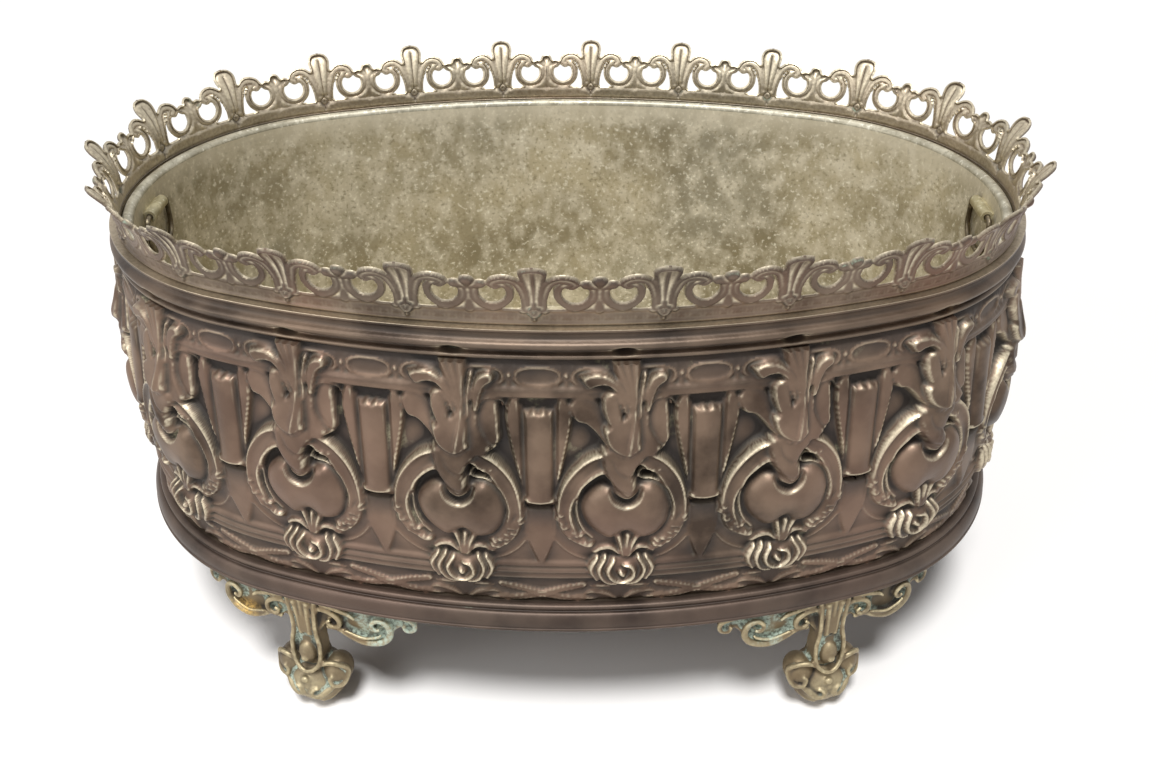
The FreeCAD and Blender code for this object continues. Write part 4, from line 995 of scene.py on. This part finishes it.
def galleryPiece(name, firstRun, motifs):
    rows = len(motif["drop"]) - 1
    count = motifs * gallery["columns"] + 1
    cells = np.arange(count)
    inside, relief = carried(motif["mask"], cells), carried(motif["relief"], cells)
    stepAlong = galleryPitch / gallery["columns"]
    runs = np.repeat((firstRun + cells * stepAlong)[None, :], rows + 1, axis=0)
    ups = np.repeat(motif["drop"][:, :1], count, axis=1)
    slopeUp, slopeAlong = np.gradient(inside, gallery["step"], stepAlong)
    steep = np.maximum(slopeUp**2 + slopeAlong**2, 0.25)
    keep = (inside[:-1, :-1] + inside[1:, :-1] + inside[:-1, 1:] + inside[1:, 1:]) > 0
    touched = np.zeros(inside.shape, dtype=int)
    kept = np.zeros(inside.shape, dtype=int)
    for down in (0, 1):
        for right in (0, 1):
            part = (slice(down, rows + down), slice(right, count - 1 + right))
            touched[part] += 1
            kept[part] += keep
    rim = (kept > 0) & (kept < touched)
    rim[0] = False
    pull = np.where(rim, inside / steep, 0)
    limit = 0.6 * gallery["step"]
    runs = runs - np.clip(pull * slopeAlong, -limit, limit)
    ups = ups - np.clip(pull * slopeUp, -limit, limit)
    for _ in range(3):  # ease the cut outline along itself
        for values, ends in ((runs, (firstRun, firstRun + motifs * galleryPitch)), (ups, None)):
            total, tally = np.zeros(values.shape), np.zeros(values.shape)
            for shift, axis in ((1, 0), (-1, 0), (1, 1), (-1, 1)):
                near = np.roll(rim, shift, axis=axis)
                total += np.where(near, np.roll(values, shift, axis=axis), 0)
                tally += near
            values[...] = np.where(rim & (tally > 1), 0.5 * values + 0.5 * total / np.maximum(tally, 1), values)
            if ends:
                values[:, 0], values[:, -1] = ends
    relief = np.where(rim, 0, relief)
    piece, column, row = freshGrid(name, count - 1, rows)
    turn = np.maximum(0, ups - gallery["curlStart"]) / gallery["curlRadius"]
    face = gallery["sheet"] + relief
    outs = gallery["back"] + gallery["curlRadius"] - (gallery["curlRadius"] - face) * np.cos(turn)
    heights = beadLine + np.where(turn > 0, gallery["curlStart"] + (gallery["curlRadius"] - face) * np.sin(turn), ups)
    moveVertices(piece, ovalPlace(runs[row, column], outs[row, column], heights[row, column]))
    for title in ("edgeWear", "hollow"):
        values = carried(motif[title], cells)
        if title == "edgeWear":
            values = np.maximum(values, rim)             # a thin bright line along the cut
        writeShares(piece, title, values[row, column])
    corners = np.empty(4 * len(piece.data.polygons), dtype=np.int32)
    piece.data.polygons.foreach_get("vertices", corners)
    corners = corners.reshape(-1, 4)
    openFaces = ~keep[row[corners].min(axis=1), column[corners].min(axis=1)]
    makeActive(piece)
    for parts in (piece.data.vertices, piece.data.edges):
        parts.foreach_set("select", np.zeros(len(parts), dtype=bool))
    piece.data.polygons.foreach_set("select", openFaces)
    bpy.ops.object.mode_set(mode="EDIT")
    bpy.ops.mesh.select_mode(type="FACE")
    bpy.ops.mesh.delete(type="FACE")
    bpy.ops.mesh.select_mode(type="VERT")
    bpy.ops.object.mode_set(mode="OBJECT")
    applyModifier(piece, "SOLIDIFY", thickness=gallery["sheet"] / 1000, offset=-1)
    smoothFaces(piece, 60)
    paleInside(piece)
    return piece


for side, firstMotif, motifs in (("rear", 0, 6), ("rear", 6, 5), ("front", 11, 6), ("front", 17, 5)):
    firstBud = (oval["galleryPhase"] - 0.5) * galleryPitch + perimeter + firstMotif * galleryPitch
    strip = galleryPiece("gallery_" + side + "_strip_" + str(firstMotif), firstBud, motifs)
    finish(strip, "casing", "galleryBrass", side + "_gallery")


# feet: cast scroll legs, drawn straight and then bent to the oval

foot = {
    "x": 116.4,          # where each stands along the oval's length
    "top": 66.0,
    "voxel": 0.65,
    "rollShare": 0.8,    # thinner rolls, because the remesh and the smoothing leave them fuller
    "thickRoll": 4,      # from this radius on a roll keeps its size
    "flareFrom": 16,     # way along from which a wing is longer or shorter than drawn
    "flareIn": 0.03,
    "flareOut": -0.08,
    "dampFrom": 14,      # salts on the inner wing, from this way along
    "stainAt": (-31, 49),
    "rubbedOut": 12.5,   # the ball's front is rubbed, beyond this way out and below this height
    "rubbedTop": 24,
}


def addBall(middle, radii):
    place = [v / 1000 for v in middle[0]]
    bpy.ops.mesh.primitive_uv_sphere_add(segments=28, ring_count=16, radius=0.001, location=place, scale=radii)
    bpy.ops.object.transform_apply(location=True, rotation=True, scale=True)
    return bpy.context.object


def addRoll(points):  # a tapered round bar through points of way along, way out, height and radius
    line = smoothLine(points, steps=5)
    curve = bpy.data.curves.new("roll", "CURVE")
    curve.dimensions = "3D"
    curve.bevel_depth = 0.001
    curve.bevel_resolution = 3
    curve.use_fill_caps = True
    spline = curve.splines.new("POLY")
    spline.points.add(len(line) - 1)
    for point, (along, out, height, radius) in zip(spline.points, line):
        point.co = (along / 1000, out / 1000, height / 1000, 1)
        point.radius = radius if radius > foot["thickRoll"] else radius * foot["rollShare"]
    piece = bpy.data.objects.new("roll", curve)
    bpy.context.collection.objects.link(piece)
    makeActive(piece)
    bpy.ops.object.convert(target="MESH")
    return bpy.context.object


def addPlate(outline, near, far):
    line = smoothLine(outline, closed=True, steps=3)[:-1]
    deselectAll()
    bpy.ops.mesh.primitive_circle_add(vertices=len(line), fill_type="NGON")
    piece = bpy.context.object
    moveVertices(piece, np.stack([line[:, 0], np.full(len(line), near), line[:, 1]], axis=1) / 1000)
    editWhole(piece, bpy.ops.mesh.extrude_region_move,
              TRANSFORM_OT_translate={"value": (0, (far - near) / 1000, 0)})
    turnOutwards(piece)
    return piece


# the foot's parts: rolls through points of way along, way out, height and radius; balls by middle and radii;
# plates by an outline of way along and height, with the way out of their back and front

legForms = [
    ("roll", [(0, 3, 66, 8.5), (0, 3, 56, 7.5), (0, 4, 44, 6.4), (0, 5, 34, 6.6), (0, 5, 26, 7.5)]),
    ("ball", [(0, 5, 12.4)], (13.6, 12.7, 12.9)),
]

wingForms = [
    # each side: lobe of the ball and the scroll over it
    ("ball", [(11.2, 5.8, 21)], (6.8, 7.8, 7.4)),
    ("roll", [(6.2, 12.5, 27, 1.3), (9.6, 12.8, 29.6, 1.6), (14.2, 11.4, 29, 1.7), (17.4, 8.5, 23.5, 1.7),
        (15.8, 11.5, 16.8, 1.6), (11.8, 13.6, 16.2, 1.4), (10.4, 13.8, 20, 1.3), (12.2, 13.4, 22.8, 1.2)]),
    # acanthus that wraps the ball from below
    ("roll", [(11.4, 12.6, 15.4, 1.8), (8.4, 15.4, 12.6, 2), (5.2, 17, 10.2, 1.8), (2.4, 17.8, 11.6, 1.5),
        (3.4, 17.7, 14.6, 1.2), (5.6, 16.8, 15.4, 1)]),
    ("roll", [(11.6, 9.4, 9.4, 1.4), (8.4, 12.4, 6.4, 1.5), (4.2, 14.2, 4.6, 1.3)]),
    # leg: outer ridge that runs into the U under the drop, flutes and leaf tips above it
    ("roll", [(6.6, 10.2, 65, 1.2), (5.8, 10.4, 56, 1.3), (5.4, 10.8, 47, 1.3), (6.8, 11.6, 38, 1.4),
        (6.2, 12.8, 29, 1.4), (3.2, 14.4, 24.8, 1.5), (0, 15, 23.6, 1.5)]),
    ("roll", [(3.2, 10.6, 64, 1.6), (2.4, 10.6, 55, 1.3), (2, 10.8, 44, 1)]),
    # volute against the leg and the leaf over it
    ("roll", [(4.5, 8.5, 54, 1.4), (7.4, 9.4, 60.5, 1.6), (12.4, 10, 61.6, 1.7), (17, 10, 58.4, 1.6),
        (17.6, 10, 54, 1.5), (14.4, 10, 52, 1.4), (12, 10.2, 54.6, 1.2), (13.6, 10.4, 56.2, 1)]),
    ("roll", [(9, 9.4, 64.4, 1.3), (16, 10, 64.2, 1.7), (22, 10, 62, 1.4), (25, 10, 59.4, 0.8)]),
    # long scroll of the wing, doubled
    ("roll", [(11, 9, 50.6, 1.6), (16.5, 9.4, 51.4, 1.7), (22, 9.6, 48.6, 2), (29, 9.8, 46.4, 2.2),
        (36.5, 9.8, 48.2, 2.2), (40.4, 9.8, 53.2, 2), (39.4, 9.8, 59.2, 1.8), (35.4, 9.8, 61, 1.6),
        (32.4, 10, 58.2, 1.4), (33.6, 10.2, 55.2, 1.3), (36.2, 10.4, 56, 1)]),
    ("roll", [(20, 10.4, 51.8, 0.9), (28, 10.8, 49.6, 1), (34.6, 10.8, 51.4, 1), (36.8, 10.6, 53.4, 0.8)]),
    # end leaf with its eye
    ("roll", [(40, 8.4, 63.6, 1.3), (46, 8.8, 64.2, 1.5), (51, 8.8, 61.8, 1.4), (51, 8.8, 57.6, 1.3),
        (47.6, 8.9, 56.4, 1.2), (46.2, 9, 59.2, 1)]),
    # sheet of metal behind the scrolls
    ("plate", [(3, 66), (20, 66), (40, 66), (50, 65.6), (52, 61), (50, 56.6), (45, 57.4), (41.4, 54), (37.5, 48.6),
        (29.5, 46.6), (22, 49), (16, 51.8), (10.5, 51.4), (6.5, 46), (3, 44)], 3.6, 8),
]

leafForms = [
    # leg plate, middle flute, bead drop and its beads
    ("plate", [(-7.4, 66), (0, 66), (7.4, 66), (6.6, 56), (6.2, 47), (7.4, 38), (6.6, 29.5), (3.6, 25), (0, 24.2),
        (-3.6, 25), (-6.6, 29.5), (-7.4, 38), (-6.2, 47), (-6.6, 56)], 3.6, 10.1),
    ("roll", [(0, 10.2, 65, 1.7), (0, 10.4, 56, 1.3), (0, 10.8, 45, 0.9)]),
    ("ball", [(0, 10.8, 33)], (4.2, 3.6, 6.4)),
    ("ball", [(0, 14, 31.6)], (1.9, 1.7, 1.9)),
    ("ball", [(-0.6, 16.2, 19.2)], (1.9, 1.8, 1.9)),
]


def buildParts(forms, side=1):
    makers = {"roll": addRoll, "ball": addBall, "plate": addPlate}
    return [makers[kind](placed(points, 0, side), *sizes) for kind, points, *sizes in forms]


def footShape():
    parts = buildParts(legForms) + buildParts(wingForms, -1) + buildParts(wingForms) + buildParts(leafForms)
    deselectAll()
    for part in parts:
        part.select_set(True)
    bpy.context.view_layer.objects.active = parts[0]
    bpy.ops.object.join()
    piece = bpy.context.object
    applyModifier(piece, "REMESH", mode="VOXEL", voxel_size=foot["voxel"] / 1000)
    applyModifier(piece, "SMOOTH", factor=0.5, iterations=2)
    places = vertexPlaces(piece) * 1000
    places[:, 2] = np.clip(places[:, 2], 0, foot["top"])
    return piece, places


def footRun(right, front):  # the way round to a foot, which stands at the same x on either side
    run = endRun + sideRun / 2 - sideRadius * math.asin(foot["x"] / sideRadius)
    if front:
        return perimeter - run if right else perimeter / 2 + run
    return run if right else perimeter / 2 - run


castFoot, footPlaces = footShape()
for right, front, name in ((False, True, "front_left_foot"), (True, True, "front_right_foot"),
                           (False, False, "rear_left_foot"), (True, False, "rear_right_foot")):
    copy = castFoot.copy()
    copy.data = castFoot.data.copy()
    copy.name = name + "_casting"
    copy.data.name = copy.name
    bpy.context.collection.objects.link(copy)
    copy.matrix_world = Matrix.Identity(4)
    inward = footPlaces[:, 0] * (1 if right != front else -1)
    beyond = np.maximum(np.abs(inward) - foot["flareFrom"], 0)
    flare = np.where(inward > 0, foot["flareIn"], foot["flareOut"])
    along = footPlaces[:, 0] + np.sign(footPlaces[:, 0]) * beyond * flare
    moveVertices(copy, ovalPlace(footRun(right, front) + along, footPlaces[:, 1], footPlaces[:, 2]))
    turnOutwards(copy)
    smoothFaces(copy)
    weather(copy, 3, 40, (0.03, 0.18), (0.03, 0.42))
    wetter = name == "front_left_foot"
    writeShares(copy, "damp", np.clip((inward - foot["dampFrom"]) / 14, 0, 1) * (1.0 if wetter else 0.45))
    stainAlong, stainHeight = foot["stainAt"]
    away = np.hypot(inward - stainAlong, (footPlaces[:, 2] - stainHeight) * 1.6)
    writeShares(copy, "stain", 0.85 * wetter * np.clip(1.5 - away / 6, 0, 1))
    handled = np.clip((footPlaces[:, 1] - foot["rubbedOut"]) / 3, 0, 1)
    handled = 0.35 * handled * np.clip((foot["rubbedTop"] - footPlaces[:, 2]) / 5, 0, 1)
    writeShares(copy, "edgeWear", np.maximum(readShares(copy, "edgeWear"), handled))
    finish(copy, "casing", "castBrass", name)
bpy.data.objects.remove(castFoot)


# liner: sheet tub with a rolled rim

liner = {
    "topOut": -7.3,          # way out of the wall's inside
    "footOut": -12.3,
    "sheet": 0.8,
    "bottom": 88.0,
    "rimOut": -4.8,
    "rimMiddle": 210.5,
    "rimRadius": 2.5,
    "runs": 521,
}


def linerPieces():
    runs = np.linspace(0, perimeter, liner["runs"])
    shares = np.linspace(0, 1, 9)
    heights = liner["bottom"] + (liner["rimMiddle"] - liner["bottom"]) * shares
    inner = liner["footOut"] + (liner["topOut"] - liner["footOut"]) * shares
    outs = np.concatenate([inner + liner["sheet"], inner[::-1], inner[:1] + liner["sheet"]])
    levels = np.concatenate([heights, heights[::-1], heights[:1]])
    wall = carryRound("liner_tub_wall", runs, outs, levels, whole=True)
    smoothFaces(wall, 40)
    turns = np.linspace(0, -2 * math.pi, 25) + math.pi / 2 * 3
    rim = carryRound("liner_rolled_rim", runs, liner["rimOut"] + liner["rimRadius"] * np.cos(turns),
                     liner["rimMiddle"] - liner["rimRadius"] * np.sin(turns), whole=True)
    smoothFaces(rim)
    return wall, rim


linerWall, linerRim = linerPieces()
finish(linerWall, "liner", "zincInside", "liner_wall")
finish(linerRim, "liner", "zincRim", "liner_rim")


# nodes whose CAD shape is right: a better finish only

plainNodes = {
    "zincInside": ["liner_bottom"],
    "zincSleeve": ["left_sleeve", "right_sleeve"],
    "tarnishedWire": ["left_bail", "right_bail"],
    "hiddenBrass": ["bottom_plate", "seam_straps"],
    "castBrass": ["foot_screws", "foot_washers"],
}
for look, nodes in plainNodes.items():
    for node in nodes:
        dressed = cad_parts[node].data.materials
        dressed.clear()
        dressed.append(materials[look])
print("plain nodes finished")
